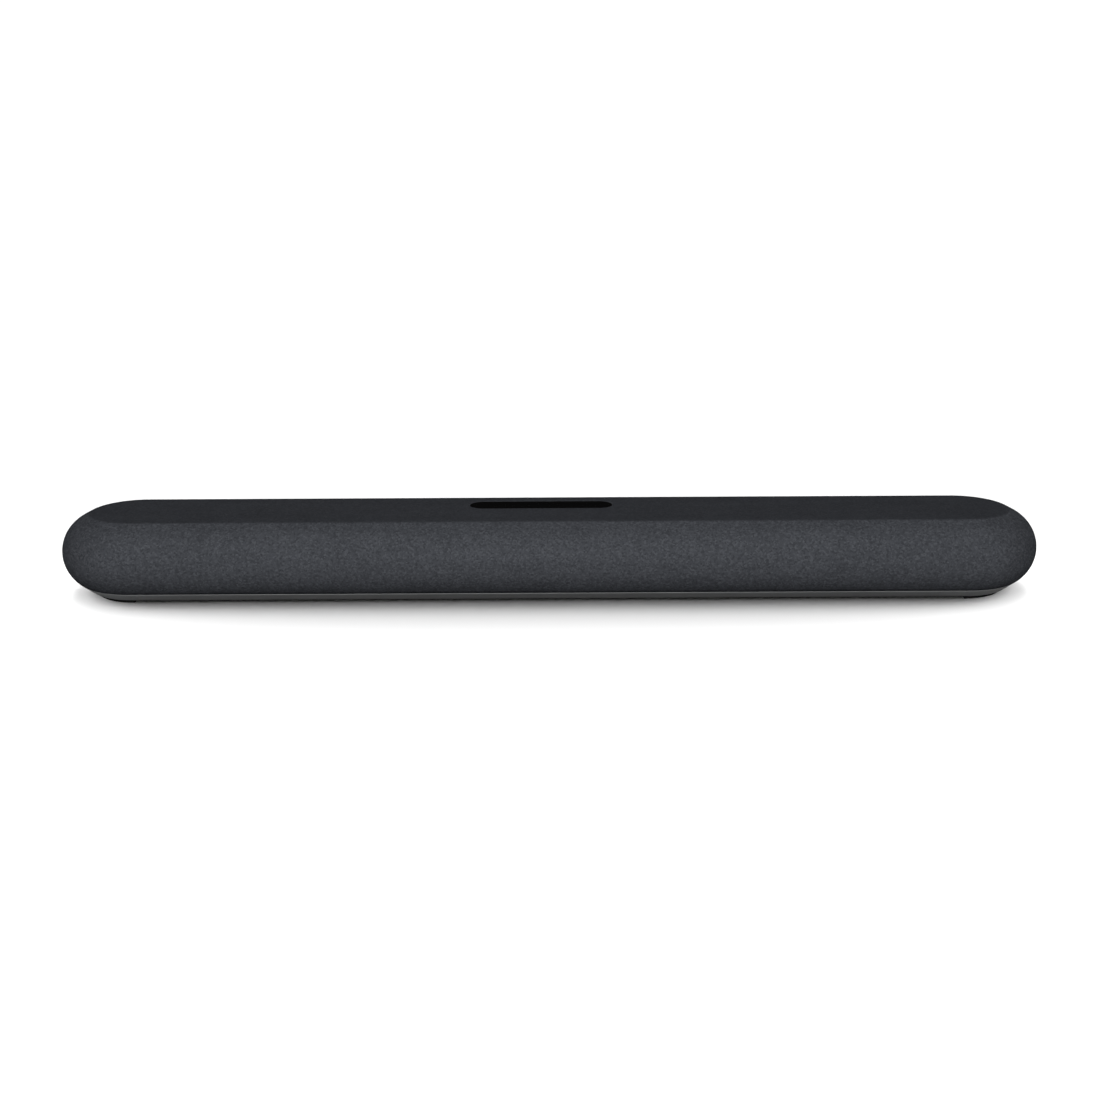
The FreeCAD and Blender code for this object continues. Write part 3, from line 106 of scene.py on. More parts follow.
# ---- Fabric cover ----
def arc_through(first, middle, last, steps):
    """Points on the circle arc through three (r, z) points, both ends among them."""
    (ax, ay), (bx, by), (cx, cy) = first, middle, last
    d = 2 * (ax * (by - cy) + bx * (cy - ay) + cx * (ay - by))
    a, b, c = ax * ax + ay * ay, bx * bx + by * by, cx * cx + cy * cy
    ox = (a * (by - cy) + b * (cy - ay) + c * (ay - by)) / d
    oy = (a * (cx - bx) + b * (ax - cx) + c * (bx - ax)) / d
    radius = math.hypot(ax - ox, ay - oy)
    start, end = math.atan2(ay - oy, ax - ox), math.atan2(cy - oy, cx - ox)
    if abs(end - start) > math.pi:
        end -= math.copysign(2 * math.pi, end - start)
    turns = [start + (end - start) * i / steps for i in range(steps + 1)]
    return [(ox + radius * math.cos(t), oy + radius * math.sin(t)) for t in turns]


def flank():
    """The cover's half outline as (r, z), from the flat top's edge down to the seam."""
    rise = HEIGHT - BULGE_Z
    turn = FLANK_SHARE * 2 * math.atan(TOP_INSET / rise)
    sin, cos = math.sin(turn), math.cos(turn)
    upper = (rise * sin - TOP_INSET * cos) / (1 - cos)
    drop = BULGE_Z - SEAM_Z
    lower = (SEAM_INSET**2 + drop**2) / (2 * SEAM_INSET)

    def on_arc(radius, angle):
        return END_R - radius + radius * math.cos(angle), BULGE_Z + radius * math.sin(angle)

    shoulder = Vector(on_arc(upper, turn))
    run = (HEIGHT - shoulder.y) / cos
    corner = Vector((shoulder.x - run * sin, HEIGHT))
    down = (shoulder - corner).normalized()
    inward = Vector((-1, 0))
    half = down.angle(inward) / 2
    middle = corner + (down + inward).normalized() * CREST_ROUND * (1 / math.cos(half) - math.tan(half))
    crest = arc_through(corner + inward * CREST_ROUND, middle, corner + down * CREST_ROUND, CREST_STEPS)
    low_turn = -math.asin((BULGE_Z - FABRIC_LOW) / lower)
    straight = [tuple((corner + down * CREST_ROUND).lerp(shoulder, i / 3)) for i in (1, 2)]
    over = [on_arc(upper, turn * (1 - i / UPPER_STEPS)) for i in range(UPPER_STEPS + 1)]
    under = [on_arc(lower, low_turn * i / LOWER_STEPS) for i in range(1, LOWER_STEPS + 1)]
    return crest + straight + over + under


def running_lengths(points):
    """The distance along a line of points of each of them."""
    lengths = [0.0]
    for before, after in zip(points, points[1:]):
        lengths.append(lengths[-1] + math.dist(before, after))
    return lengths


FLANK = flank()
RUN = running_lengths(FLANK)
FLAT_R = FLANK[0][0]


def between(value, keys, values):
    """Straight interpolation of values at the place of value among rising keys."""
    i = next((i for i in range(1, len(keys)) if value <= keys[i]), len(keys) - 1)
    t = (value - keys[i - 1]) / (keys[i] - keys[i - 1])
    low, high = values[i - 1], values[i]
    if isinstance(low, tuple):
        return tuple(a + (b - a) * t for a, b in zip(low, high))
    return low + (high - low) * t


def rounded_outline(half_x, half_z, radius, corner_steps, spacing):
    """A rounded rectangle's points about its centre, with points along its straights."""
    corners = [(1, 1, 0), (-1, 1, 90), (-1, -1, 180), (1, -1, 270)]
    raw = []
    for sx, sz, start in corners:
        cx, cz = sx * (half_x - radius), sz * (half_z - radius)
        for i in range(corner_steps + 1):
            t = math.radians(start + 90 * i / corner_steps)
            raw.append((cx + radius * math.cos(t), cz + radius * math.sin(t)))
    points = []
    for a, b in zip(raw, raw[1:] + raw[:1]):
        if math.dist(a, b) < 1e-6:
            continue
        count = max(1, round(math.dist(a, b) / spacing))
        across, along = b[0] - a[0], b[1] - a[1]
        points += [(a[0] + across * i / count, a[1] + along * i / count) for i in range(count)]
    return points


def inside(point, outline):
    x, y = point
    odd = False
    for (ax, ay), (bx, by) in zip(outline, outline[1:] + outline[:1]):
        if (ay > y) != (by > y) and x < ax + (y - ay) * (bx - ax) / (by - ay):
            odd = not odd
    return odd


def patch(border, hole, extra):
    """Triangles, as (points, faces), over the area between a convex border and a hole."""
    points, edges = [], []
    for loop in (border, hole):
        first = len(points)
        points += loop
        edges += [(first + i, first + (i + 1) % len(loop)) for i in range(len(loop))]
    points += extra
    out, _, faces, *_ = delaunay_2d_cdt([Vector(p) for p in points], edges, [], 0, 1e-5)
    out = [tuple(p) for p in out]
    kept = []
    for face in faces:
        a, b, c = (out[i] for i in face)
        area = (b[0] - a[0]) * (c[1] - a[1]) - (b[1] - a[1]) * (c[0] - a[0])
        middle = ((a[0] + b[0] + c[0]) / 3, (a[1] + b[1] + c[1]) / 3)
        if abs(area) > 1e-4 and not inside(middle, hole):
            kept.append(tuple(face) if area > 0 else tuple(reversed(face)))
    return out, kept


def stadium_columns():
    """The columns round the bar as (centre x, turn), anticlockwise as seen from above."""
    columns = []
    for side, start in ((1, -90), (-1, 90)):
        for i in range(END_STEPS + 1):
            columns.append((side * END_X, math.radians(start + 180 * i / END_STEPS)))
        if side == 1:
            count = round(2 * END_X / GRID)
            columns += [(END_X - 2 * END_X * i / count, math.radians(90)) for i in range(1, count)]
    count = round(2 * END_X / GRID)
    columns += [(-END_X + 2 * END_X * i / count, math.radians(-90)) for i in range(1, count)]
    return columns


def is_back(turn):
    return abs(turn - BACK) < 1e-6


class Cover:
    """The stretched cover's outer face, with the flat place of each point on the cut cloth."""

    def __init__(self):
        self.bm = bmesh.new()
        self.flat = self.bm.verts.layers.float_vector.new("knit")
        self.columns = stadium_columns()
        back = [x for x, turn in self.columns if is_back(turn)]
        self.patch_half = max(x for x in back if x < WINDOW_HALF + WINDOW_FRAME)

    def vertex(self, place, flat_place):
        v = self.bm.verts.new(place)
        v[self.flat] = (*flat_place, 0)
        return v

    def on_flank(self, centre, turn, run):
        """The point of a column that lies that far down from the flat top's edge."""
        r, z = between(run, RUN, FLANK)
        c, s = math.cos(turn), math.sin(turn)
        out = FLAT_R + run
        return self.vertex((centre + r * c, r * s, z), (centre + out * c, out * s))

    def fill(self, placed, faces):
        for face in faces:
            self.bm.faces.new([placed[i] for i in face])

    def wall(self):
        """A grid of columns and rows, open behind where the window patch goes."""
        grid = [[self.on_flank(centre, turn, run) for run in RUN] for centre, turn in self.columns]
        for i, column in enumerate(grid):
            j = (i + 1) % len(grid)
            (xa, ta), (xb, tb) = self.columns[i], self.columns[j]
            if is_back(ta) and is_back(tb) and max(abs(xa), abs(xb)) < WINDOW_HALF + WINDOW_FRAME:
                continue
            for row in range(len(RUN) - 1):
                self.bm.faces.new((column[row], column[row + 1], grid[j][row + 1], grid[j][row]))

    def window_patch(self):
        """The stretch of back wall round the window, made flat as (x, distance down) and put in place."""
        limit, bottom = self.patch_half, RUN[-1]
        xs = sorted(x for x, turn in self.columns if is_back(turn) and -limit <= x <= limit)
        border = [(x, 0.0) for x in xs] + [(limit, run) for run in RUN[1:]]
        border += [(x, bottom) for x in reversed(xs[:-1])]
        border += [(-limit, run) for run in reversed(RUN[1:-1])]
        rising_z = [z for _, z in reversed(FLANK)]
        falling_run = list(reversed(RUN))
        middle_z, half_z = sum(WINDOW_Z) / 2, (WINDOW_Z[1] - WINDOW_Z[0]) / 2

        def unrolled(half_x, half_z):
            outline = rounded_outline(half_x, half_z, WINDOW_CORNER, CORNER_STEPS, GRID)
            return [(x, between(middle_z + z, rising_z, falling_run)) for x, z in outline]

        hole = unrolled(WINDOW_HALF, half_z)
        keep_off = unrolled(WINDOW_HALF + WINDOW_CLEAR_X, half_z + WINDOW_CLEAR_Z)
        rows = RUN[1:-1]
        inner = [(x, run) for x in xs[1:-1] for run in rows if not inside((x, run), keep_off)]
        points, faces = patch(border, hole, inner)
        placed = []
        for x, run in points:
            r, z = between(run, RUN, FLANK)
            placed.append(self.vertex((x, r, z), (x, FLAT_R + run)))
        self.fill(placed, faces)

    def top(self):
        """The flat top, with the touch panel's opening."""
        border = [(c + FLAT_R * math.cos(t), FLAT_R * math.sin(t)) for c, t in self.columns]

        def pill_outline(grow):
            half_x, half_y = PILL_LENGTH / 2 + grow, PILL_WIDTH / 2 + grow
            outline = rounded_outline(half_x, half_y, half_y, PILL_STEPS, GRID)
            return [(PILL_X + x, PILL_Y + y) for x, y in outline]

        keep_off = pill_outline(TOP_CLEAR)
        inner = []
        rows = int(FLAT_R // GRID)
        reach = int((END_X + FLAT_R) // GRID)
        for i in range(-reach, reach + 1):
            for j in range(-rows, rows + 1):
                x, y = i * GRID, j * GRID
                from_spine = math.hypot(max(abs(x) - END_X, 0), y)
                if from_spine < FLAT_R - TOP_CLEAR and not inside((x, y), keep_off):
                    inner.append((x, y))
        points, faces = patch(border, pill_outline(0), inner)
        self.fill([self.vertex((x, y, HEIGHT), (x, y)) for x, y in points], faces)

    def mesh(self):
        """The three parts joined, facing outwards, as a mesh in metres."""
        bm = self.bm
        bmesh.ops.remove_doubles(bm, verts=bm.verts, dist=0.02)
        loose = [v for v in bm.verts if not v.link_faces]
        bmesh.ops.delete(bm, geom=loose, context="VERTS")
        bmesh.ops.recalc_face_normals(bm, faces=bm.faces)
        if sum(f.normal.z for f in bm.faces if f.calc_center_median().z > HEIGHT - 0.1) < 0:
            bmesh.ops.reverse_faces(bm, faces=bm.faces)
        for v in bm.verts:
            v.co = v.co * MM
        for f in bm.faces:
            f.smooth = True
        mesh = bpy.data.meshes.new("soundbar_cover")
        bm.to_mesh(mesh)
        bm.free()
        return mesh


def fabric_cover():
    body = Cover()
    body.wall()
    body.window_patch()
    body.top()
    mesh = body.mesh()
    cover = bpy.data.objects.new("soundbar_cover", mesh)
    bpy.context.scene.collection.objects.link(cover)
    solid = cover.modifiers.new("thickness", "SOLIDIFY")
    solid.thickness = FABRIC_T * MM
    solid.offset = -1
    rounded = cover.modifiers.new("cut_edges", "BEVEL")
    rounded.width = EDGE_ROUND * MM
    rounded.segments = 2
    rounded.limit_method = "ANGLE"
    rounded.angle_limit = math.radians(50)
    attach(cover, "housing")
    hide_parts("fabric_cover")
    return cover


# ---- Materials ----
class Surface:
    """A node material built step by step; nodes are added with their inputs set or linked."""

    def __init__(self, name):
        self.material = bpy.data.materials.new(name)
        self.material.use_nodes = True
        self.tree = self.material.node_tree
        self.shader = self.tree.nodes["Principled BSDF"]
        coordinates = self.add("ShaderNodeTexCoord")
        self.place = coordinates.outputs["Object"]
        self.normal = coordinates.outputs["Normal"]

    def add(self, kind, inputs=None, **settings):
        node = self.tree.nodes.new(kind)
        for key, value in settings.items():
            setattr(node, key, value)
        for key, value in (inputs or {}).items():
            self.feed(node.inputs[key], value)
        return node

    def feed(self, socket, value):
        if isinstance(value, bpy.types.NodeSocket):
            self.tree.links.new(value, socket)
        else:
            socket.default_value = value

    def math(self, operation, a, b=0.0, clamp=False):
        node = self.add("ShaderNodeMath", {0: a, 1: b}, operation=operation, use_clamp=clamp)
        return node.outputs[0]

    def spread(self, value, low, high, to_low=0.0, to_high=1.0):
        node = self.add(
            "ShaderNodeMapRange",
            {"Value": value, "From Min": low, "From Max": high, "To Min": to_low, "To Max": to_high},
        )
        return node.outputs["Result"]

    def noise(self, size, detail=2.0, rough=0.5, stretch=None):
        """Noise with features of about that size in metres."""
        place = self.place
        if stretch:
            place = self.add("ShaderNodeMapping", {"Vector": place, "Scale": stretch}).outputs["Vector"]
        inputs = {"Vector": place, "Scale": 1 / size, "Detail": detail, "Roughness": rough}
        return self.add("ShaderNodeTexNoise", inputs).outputs["Fac"]

    def cells(self, size, output="Distance", randomness=1.0):
        """Cells of about that size in metres: the distance from their middles, or a colour for each."""
        inputs = {"Vector": self.place, "Scale": 1 / size, "Randomness": randomness}
        return self.add("ShaderNodeTexVoronoi", inputs).outputs[output]

    def vector_math(self, operation, inputs):
        return self.add("ShaderNodeVectorMath", inputs, operation=operation).outputs[0]

    def mix(self, amount, first, second):
        node = self.add("ShaderNodeMix", data_type="RGBA")
        self.feed(node.inputs[0], amount)
        self.feed(node.inputs[6], first)
        self.feed(node.inputs[7], second)
        return node.outputs[2]

    def bump(self, height, distance, strength=1.0):
        inputs = {"Height": height, "Distance": distance, "Strength": strength}
        return self.add("ShaderNodeBump", inputs).outputs["Normal"]

    def finish(self, colour, rough, normal=None, **constants):
        self.feed(self.shader.inputs["Base Color"], colour)
        self.feed(self.shader.inputs["Roughness"], rough)
        if normal is not None:
            self.feed(self.shader.inputs["Normal"], normal)
        for key, value in constants.items():
            self.shader.inputs[key.replace("_", " ")].default_value = value
        return self.material


def grey(value, cool=0.0):
    return (value, value * (1 + cool / 2), value * (1 + cool), 1.0)


KNIT_PITCH = 0.0012  # from loop to loop across
KNIT_ROW = 0.8  # of the pitch, from row to row
KNIT_WANDER = 0.0009  # how far the rows stray
THREAD_SIZE = 0.00125  # of the single lighter or darker threads
FIBRE_SIZE = 0.00045
TOP_PAINTED_SHADE = 0.26  # painted shade: how far the upward-facing cloth of the flat top is mixed towards black, standing in for the weaker light a low front lamp gives a face turned up


def knit_cloth(name):
    """Fine melange knit: rows of small loops, single threads lighter or darker than the rest; painted
    shade darkens the hollows between the loops and the flat top.
    """
    s = Surface(name)
    flat = s.add("ShaderNodeAttribute", attribute_name="knit").outputs["Vector"]
    stray = {"Vector": flat, "Scale": 260.0, "Detail": 1.0}
    wander = s.add("ShaderNodeTexNoise", stray).outputs["Color"]
    wander = s.vector_math("SUBTRACT", {0: wander, 1: (0.5, 0.5, 0.5)})
    wander = s.vector_math("SCALE", {0: wander, "Scale": KNIT_WANDER})
    axes = s.add("ShaderNodeSeparateXYZ", {"Vector": s.vector_math("ADD", {0: flat, 1: wander})})
    across = s.math("MULTIPLY", axes.outputs["X"], 2 * math.pi / KNIT_PITCH)
    along = s.math("MULTIPLY", axes.outputs["Y"], 2 * math.pi / (KNIT_PITCH * KNIT_ROW))
    lean = s.math("MULTIPLY", s.math("SINE", across), 1.3)
    loops = s.math("SINE", s.math("ADD", along, lean))
    wales = s.math("COSINE", s.math("MULTIPLY", across, 2.0))
    knit = s.math("ADD", s.math("MULTIPLY", loops, 0.32), s.math("MULTIPLY", wales, 0.18))
    knit = s.math("ADD", knit, 0.5, clamp=True)
    fibre = s.noise(FIBRE_SIZE, 3.0, 0.6)
    height = s.math("ADD", s.math("MULTIPLY", knit, 0.75), s.math("MULTIPLY", fibre, 0.5))
    facing = s.add("ShaderNodeSeparateXYZ", {"Vector": s.normal}).outputs["Z"]
    topside = s.spread(facing, 0.90, 0.985)
    quiet = s.spread(topside, 0.0, 1.0, 1.0, 0.5)
    thread = s.add("ShaderNodeSeparateColor", {"Color": s.cells(THREAD_SIZE, "Color")}).outputs[0]
    light = s.math("MULTIPLY", s.spread(thread, 0.62, 1.0), quiet)
    dark = s.math("MULTIPLY", s.spread(thread, 0.4, 0.0), quiet)
    cloudy = s.noise(0.03, 3.0)
    base = s.mix(s.spread(cloudy, 0.35, 0.65), (0.0268, 0.0284, 0.0322, 1), (0.0292, 0.0309, 0.0350, 1))
    base = s.mix(s.math("MULTIPLY", light, 0.32), base, (0.062, 0.065, 0.072, 1))
    base = s.mix(s.math("MULTIPLY", dark, 0.48), base, (0.0105, 0.0112, 0.0128, 1))
    # painted shade: the low places of the knit's height, between the loops, are darkened towards black
    hollow_shade = s.spread(height, 0.62, 0.2, 0.0, 0.42)
    colour = s.mix(hollow_shade, base, (0.006, 0.006, 0.007, 1))
    # painted shade: the flat top, picked out by its upward normal, is darkened towards black as it lies
    # darker under low front light
    colour = s.mix(s.math("MULTIPLY", topside, TOP_PAINTED_SHADE), colour, grey(0.0))
    rough = s.spread(fibre, 0.3, 0.7, 0.82, 0.96)
    normal = s.bump(height, 0.00016, 0.75)
    return s.finish(colour, rough, normal, Specular_IOR_Level=0.0, Sheen_Weight=0.0)


def moulded(name, colour, tint=0.0, *, rough, grain=0.0004, depth=0.00002, level=0.4, spread=0.12):
    """Moulded plastic or rubber: spark-eroded grain, faint clouding, dust-fine scuffs in the gloss."""
    s = Surface(name)
    clouds = s.noise(0.02, 4.0, 0.55)
    flow = s.noise(0.09, 2.0, 0.5, stretch=(0.35, 1.0, 1.0))
    low, high = grey(colour * (1 - spread), tint), grey(colour * (1 + spread), tint)
    body = s.mix(s.spread(clouds, 0.3, 0.7), low, high)
    body = s.mix(s.spread(flow, 0.35, 0.7, 0.0, 0.3), body, grey(colour * 0.8, tint))
    grains = s.noise(grain, 3.0, 0.6)
    pits = s.cells(grain * 1.4)
    height = s.math("ADD", s.math("MULTIPLY", grains, 0.6), s.math("MULTIPLY", pits, 0.5))
    scuffs = s.noise(0.006, 5.0, 0.7, stretch=(1.0, 0.25, 0.25))
    plain = s.spread(grains, 0.3, 0.7, rough - 0.05, rough + 0.06)
    gloss = s.math("ADD", plain, s.spread(scuffs, 0.55, 0.8, 0.0, 0.08))
    return s.finish(body, gloss, s.bump(height, depth), Specular_IOR_Level=level)


def black_glass(name):
    """Black glass with faint finger smears in its gloss and a little dust."""
    s = Surface(name)
    smears = s.noise(0.018, 5.0, 0.65, stretch=(0.5, 1.2, 1.0))
    dust = s.cells(0.0021)
    specks = s.spread(dust, 0.085, 0.05)
    colour = s.mix(s.math("MULTIPLY", specks, 0.5), grey(0.0012), grey(0.02))
    rough = s.math("ADD", s.spread(smears, 0.3, 0.8, 0.05, 0.08), s.math("MULTIPLY", specks, 0.25))
    ripple = s.noise(0.05, 1.0)
    return s.finish(colour, rough, s.bump(ripple, 0.000004, 0.05), Specular_IOR_Level=0.28)


def metal(name, colour, rough, brush=(1.0, 0.05, 1.0)):
    """Plated or turned metal with fine working marks and slight tarnish."""
    s = Surface(name)
    lines = s.noise(0.0008, 4.0, 0.6, stretch=brush)
    stain = s.noise(0.004, 4.0, 0.6)
    dull = tuple(c * 0.62 for c in colour)
    body = s.mix(s.spread(stain, 0.42, 0.75), (*colour, 1), (*dull, 1))
    plain = s.spread(lines, 0.3, 0.7, rough - 0.08, rough + 0.1)
    gloss = s.math("ADD", plain, s.spread(stain, 0.5, 0.8, 0.0, 0.15))
    return s.finish(body, gloss, s.bump(lines, 0.00001), Metallic=1.0)


def circuit_board(name):
    """Solder mask with tracks running in steps beneath it and tinned pads."""
    s = Surface(name)
    tracks = s.add(
        "ShaderNodeTexBrick",
        {
            "Vector": s.place,
            "Scale": 160.0,
            "Mortar Size": 0.018,
            "Brick Width": 0.9,
            "Row Height": 0.22,
        },
    ).outputs["Fac"]
    mask = s.mix(s.math("MULTIPLY", tracks, 0.7), (0.008, 0.045, 0.018, 1), (0.02, 0.1, 0.035, 1))
    pads = s.spread(s.cells(0.0032), 0.2, 0.16)
    colour = s.mix(pads, mask, (0.55, 0.54, 0.5, 1))
    gloss = s.spread(s.noise(0.002, 3.0), 0.3, 0.7, 0.28, 0.42)
    height = s.math("ADD", s.math("MULTIPLY", tracks, 0.5), pads)
    return s.finish(colour, gloss, s.bump(height, 0.00004))


def screen(name):
    """A dark display, switched off, with its grid of dots just showing."""
    s = Surface(name)
    dots = s.cells(0.0016, randomness=0.0)
    lit = s.spread(dots, 0.3, 0.22)
    colour = s.mix(lit, grey(0.004), grey(0.03))
    gloss = s.spread(s.noise(0.01), 0.3, 0.7, 0.18, 0.3)
    return s.finish(colour, gloss, s.bump(dots, 0.00002))


def ribbon(name):
    """Flat cable in amber film, its copper wires side by side."""
    s = Surface(name)
    x = s.add("ShaderNodeSeparateXYZ", {"Vector": s.place}).outputs["X"]
    wires = s.math("SINE", s.math("MULTIPLY", x, 2 * math.pi / 0.001))
    colour = s.mix(s.spread(wires, 0.2, 0.7), (0.30, 0.13, 0.03, 1), (0.5, 0.27, 0.08, 1))
    gloss = s.spread(s.noise(0.004), 0.3, 0.7, 0.3, 0.45)
    return s.finish(colour, gloss, s.bump(wires, 0.00005))


def socket_steel(name):
    """Nickel-plated socket shells; what lies within them, such as the tongue, is black plastic."""
    s = Surface(name)
    lines = s.noise(0.0007, 4.0, 0.6, stretch=(1.0, 0.06, 1.0))
    stain = s.noise(0.003, 4.0, 0.6)
    body = s.mix(s.spread(stain, 0.42, 0.75), (0.62, 0.61, 0.58, 1), (0.40, 0.39, 0.37, 1))
    axes = s.add("ShaderNodeSeparateXYZ", {"Vector": s.place})
    inner = None
    for node, inset in (("hdmi_socket", 0.9), ("usb_socket", 0.9), ("network_socket", 1.3)):
        low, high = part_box(node)
        middle, half = (low + high) / 2, (high - low) / 2 - Vector((inset, 0, inset)) * MM
        across = s.math("ABSOLUTE", s.math("SUBTRACT", axes.outputs["X"], middle.x))
        upright = s.math("ABSOLUTE", s.math("SUBTRACT", axes.outputs["Z"], middle.z))
        in_width = s.math("LESS_THAN", across, half.x)
        in_height = s.math("LESS_THAN", upright, half.z)
        within = s.math("MULTIPLY", in_width, in_height)
        inner = within if inner is None else s.math("MAXIMUM", inner, within)
    colour = s.mix(inner, body, grey(0.012))
    s.feed(s.shader.inputs["Metallic"], s.math("SUBTRACT", 1.0, inner))
    gloss = s.math("ADD", s.spread(lines, 0.3, 0.7, 0.22, 0.4), s.math("MULTIPLY", inner, 0.2))
    return s.finish(colour, gloss, s.bump(lines, 0.00001))


def paper(name):
    """Pressed black paper pulp with pale flecks."""
    s = Surface(name)
    fibres = s.noise(0.0008, 5.0, 0.7, stretch=(1.0, 1.0, 0.3))
    flecks = s.cells(0.003)
    colour = s.mix(s.spread(fibres, 0.3, 0.7), grey(0.012), grey(0.035))
    colour = s.mix(s.spread(flecks, 0.12, 0.05, 0.0, 0.4), colour, grey(0.09))
    gloss = s.spread(fibres, 0.3, 0.7, 0.75, 0.95)
    return s.finish(colour, gloss, s.bump(fibres, 0.00012))


def base_plastic(name):
    return moulded(name, 0.128, 0.05, rough=0.42, grain=0.0005, depth=0.00003, level=0.5, spread=0.06)


def plate_plastic(name):
    return moulded(name, 0.014, 0.02, rough=0.56, grain=0.0005, depth=0.00005, level=0.35)


# The material of each of the record's slots
SLOTS = {
    "charcoal_knit": knit_cloth,
    "inner_plastic": lambda n: moulded(n, 0.012, rough=0.6),
    "seam_rubber": lambda n: moulded(n, 0.010, rough=0.7, level=0.2),
    "base_plastic": base_plastic,
    "steel_screw": lambda n: metal(n, (0.09, 0.09, 0.095), 0.38),
    "black_glass": black_glass,
    "screen": screen,
    "circuit_board": circuit_board,
    "rear_plastic": lambda n: moulded(n, 0.020, 0.03, rough=0.5, grain=0.0006, depth=0.00005, level=0.4),
    "brass_insert": lambda n: metal(n, (0.72, 0.48, 0.2), 0.28, (1.0, 0.2, 1.0)),
    "plate_plastic": plate_plastic,
    "socket_plastic": lambda n: moulded(n, 0.008, rough=0.34, grain=0.0009, depth=0.000012),
    "socket_steel": socket_steel,
    "chip_plastic": lambda n: moulded(n, 0.015, rough=0.45),
    "black_aluminium": lambda n: metal(n, (0.05, 0.05, 0.055), 0.45, (1.0, 1.0, 0.05)),
    "power_parts": lambda n: moulded(n, 0.05, 0.2, rough=0.4),
    "ribbon": ribbon,
    "wire_rubber": lambda n: moulded(n, 0.05, -0.5, rough=0.5),
    "button_plastic": lambda n: moulded(n, 0.030, 0.02, rough=0.38, grain=0.0007, depth=0.000015),
    "foot_rubber": lambda n: moulded(n, 0.006, rough=0.78, grain=0.0009, depth=0.00008, level=0.2),
    "driver_plastic": lambda n: moulded(n, 0.018, rough=0.5),
    "dome_silk": lambda n: moulded(n, 0.02, rough=0.7, grain=0.0003, depth=0.00005),
    "radiator_plate": lambda n: metal(n, (0.25, 0.25, 0.26), 0.35),
    "suspension_rubber": lambda n: moulded(n, 0.012, rough=0.6, grain=0.0012, depth=0.00002, level=0.3),
    "box_plastic": lambda n: moulded(n, 0.022, rough=0.55),
    "basket_steel": lambda n: metal(n, (0.3, 0.3, 0.31), 0.42, (1.0, 1.0, 0.2)),
    "magnet": lambda n: moulded(n, 0.03, 0.05, rough=0.5, grain=0.001, depth=0.00008),
    "cone_paper": paper,
}


def dress_nodes(cover):
    """Gives every CAD node, and the cover, the material of its slot."""
    made = {name: make("mat_" + name) for name, make in SLOTS.items()}
    for node in NODES.values():
        for i, old in enumerate(node.data.materials):
            node.data.materials[i] = made[old.name.split(".")[0]]
    cover.data.materials.append(made["charcoal_knit"])


# ---- Studio ----
SIDES = {"left": -1, "right": 1}
KEY_LIGHT = 166.0  # watts
BACK_LIGHT = 58.0
AIM = (0, 0, 0.035)  # the middle of the bar, where the lamps point
SKY_SEEN = 1.1
SKY_LIGHT = 0.008
FLOOR_REACH = 40.0
FLOOR_BOUNCE = 0.3  # the little light that the floor throws back up
FLOOR_LIGHT = 4.15
# overhead strips along the bar: the tilt of each towards the back in degrees, and its share of the light
FLOOR_STRIPS = [(-68, 0.04), (-50, 0.08), (-24, 0.24), (4, 0.28), (30, 0.21), (52, 0.19)]
STRIP_SPREAD = 36.0
END_FILL = 0.36  # watts of the small lamps that lift the floor's shade beside the round ends
VIEW_HEIGHT = 15.807  # degrees above the horizon
VIEW_DISTANCE = 1.4403
VIEW_ROLL = -0.289
LOOK_AT = Vector((0.00056, -0.0002, 0.0322))
LENS = 57.79


def floor():
    """A pale floor that looks white but throws little light back up."""
    bm = bmesh.new()
    bmesh.ops.create_grid(bm, x_segments=8, y_segments=8, size=FLOOR_REACH)
    mesh = bpy.data.meshes.new("studio_floor")
    bm.to_mesh(mesh)
    bm.free()
    obj = bpy.data.objects.new("studio_floor", mesh)
    bpy.context.scene.collection.objects.link(obj)
    s = Surface("mat_floor")
    soft = s.noise(0.8, 2.0)
    seen = s.add("ShaderNodeLightPath").outputs["Is Camera Ray"]
    pale = s.mix(soft, grey(0.80), grey(0.82))
    colour = s.mix(seen, grey(FLOOR_BOUNCE), pale)
    mesh.materials.append(s.finish(colour, 0.9, Specular_IOR_Level=0.0))
    return obj


def link_light(light, state, *objects):
    """The light reaches only those objects (INCLUDE), or all but them (EXCLUDE)."""
    group = bpy.data.collections.new("for_" + light.name)
    light.light_linking.receiver_collection = group
    for obj in objects:
        group.objects.link(obj)
    for entry in group.collection_objects:
        entry.light_linking.link_state = state


def softbox(name, place, aim, size, power):
    data = bpy.data.lights.new(name, "AREA")
    data.shape = "RECTANGLE"
    data.size, data.size_y = size
    data.energy = power
    light = bpy.data.objects.new(name, data)
    bpy.context.scene.collection.objects.link(light)
    light.visible_camera = False
    light.location = place
    light.rotation_euler = (Vector(aim) - Vector(place)).to_track_quat("-Z", "Y").to_euler()
    return light


def from_angles(azimuth, elevation, distance):
    """A place seen from the bar at those degrees; azimuth 0 is the front, and 90 the right."""
    a, e = math.radians(azimuth), math.radians(elevation)
    return (
        distance * math.cos(e) * math.sin(a),
        -distance * math.cos(e) * math.cos(a),
        AIM[2] + distance * math.sin(e),
    )


def studio():
    ground = floor()
    key = softbox("key", from_angles(0, 32, 2.6), AIM, (1.6, 0.9), KEY_LIGHT)
    link_light(key, "EXCLUDE", ground)
    for name, side in SIDES.items():
        place = from_angles(side * 150, 8, 2.4)
        back = softbox("back_" + name, place, AIM, (1.0, 0.6), BACK_LIGHT)
        link_light(back, "EXCLUDE", ground, NODES["touch_glass"])
    light_floor(ground)
    light_sky()


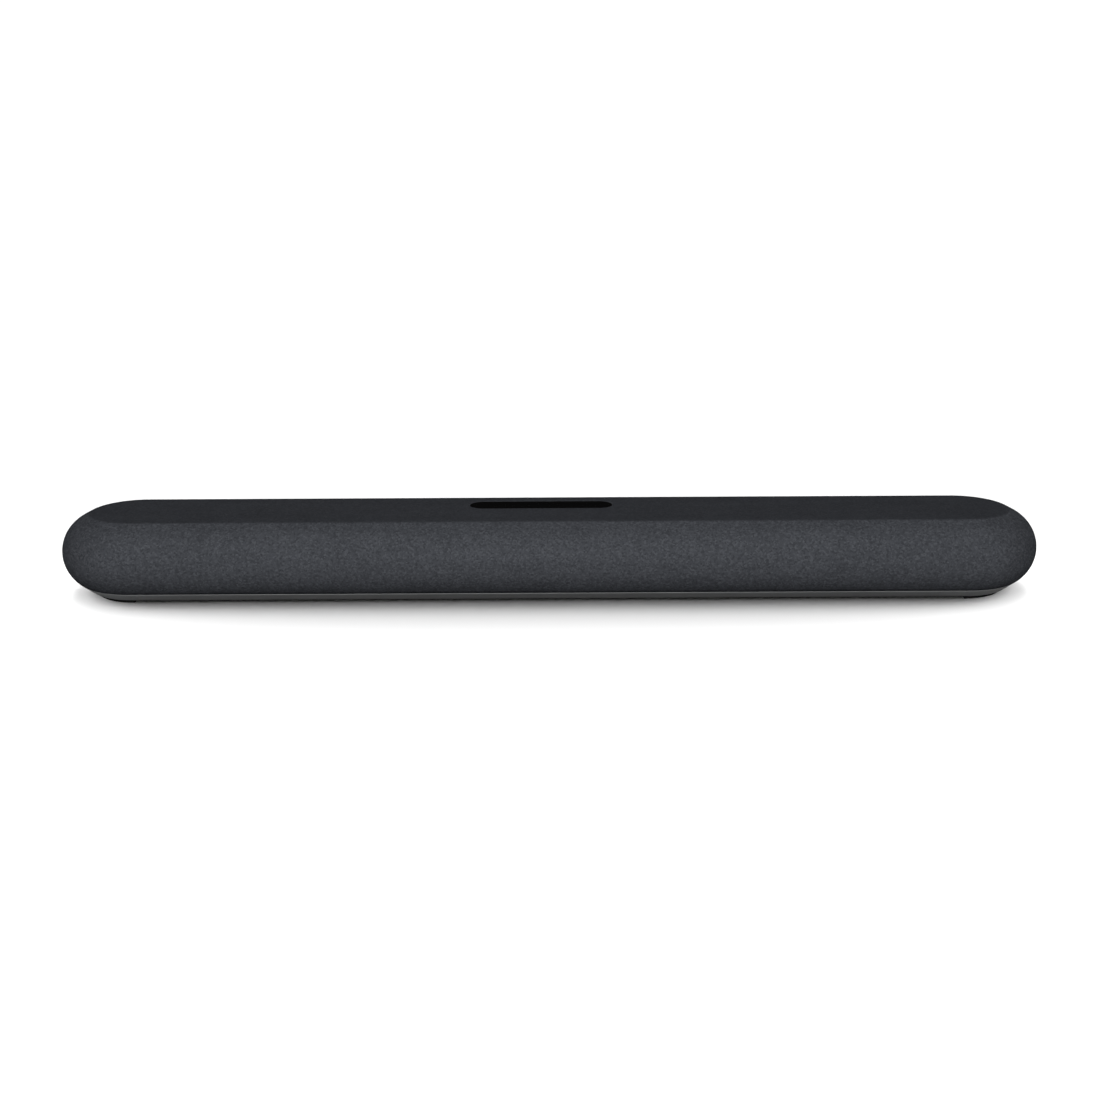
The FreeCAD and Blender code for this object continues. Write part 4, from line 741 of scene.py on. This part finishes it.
def light_floor(ground):
    """The lamps that only the floor feels: overhead strips, and a small fill beside each end."""
    for i, (tilt, share) in enumerate(FLOOR_STRIPS):
        data = bpy.data.lights.new(f"floor_light_{i}", "SUN")
        data.energy = FLOOR_LIGHT * share / math.cos(math.radians(tilt))
        data.angle = math.radians(STRIP_SPREAD)
        overhead = bpy.data.objects.new(data.name, data)
        bpy.context.scene.collection.objects.link(overhead)
        overhead.rotation_euler = (math.radians(-tilt), 0, 0)
        link_light(overhead, "INCLUDE", ground)
    for name, side in SIDES.items():
        place, aim = (side * 0.50, -0.07, 0.10), (side * 0.385, -0.03, 0)
        fill = softbox("end_fill_" + name, place, aim, (0.14, 0.14), END_FILL)
        link_light(fill, "INCLUDE", ground)


def light_sky():
    """A white surround that the camera sees, and that lights the bar only faintly."""
    world = bpy.data.worlds.new("studio")
    bpy.context.scene.world = world
    world.use_nodes = True
    tree = world.node_tree
    tree.nodes.clear()
    seen = tree.nodes.new("ShaderNodeBackground")
    seen.inputs["Strength"].default_value = SKY_SEEN
    fill = tree.nodes.new("ShaderNodeBackground")
    fill.inputs["Strength"].default_value = SKY_LIGHT
    path = tree.nodes.new("ShaderNodeLightPath")
    mix = tree.nodes.new("ShaderNodeMixShader")
    out = tree.nodes.new("ShaderNodeOutputWorld")
    for node in (seen, fill):
        node.inputs["Color"].default_value = (1, 1, 1, 1)
    tree.links.new(path.outputs["Is Camera Ray"], mix.inputs[0])
    tree.links.new(fill.outputs[0], mix.inputs[1])
    tree.links.new(seen.outputs[0], mix.inputs[2])
    tree.links.new(mix.outputs[0], out.inputs["Surface"])


def camera():
    data = bpy.data.cameras.new("camera")
    data.sensor_width = 36.0
    data.lens = LENS
    data.clip_end = 200.0
    obj = bpy.data.objects.new("camera", data)
    bpy.context.scene.collection.objects.link(obj)
    e = math.radians(VIEW_HEIGHT)
    obj.location = LOOK_AT + VIEW_DISTANCE * Vector((0, -math.cos(e), math.sin(e)))
    look = (LOOK_AT - obj.location).to_track_quat("-Z", "Y").to_matrix()
    obj.rotation_euler = (look @ Matrix.Rotation(math.radians(VIEW_ROLL), 3, "Z")).to_euler()
    bpy.context.scene.camera = obj


# ---- The scene ----
camera()
dress_nodes(fabric_cover())
studio()
bpy.context.scene.view_settings.view_transform = "Standard"
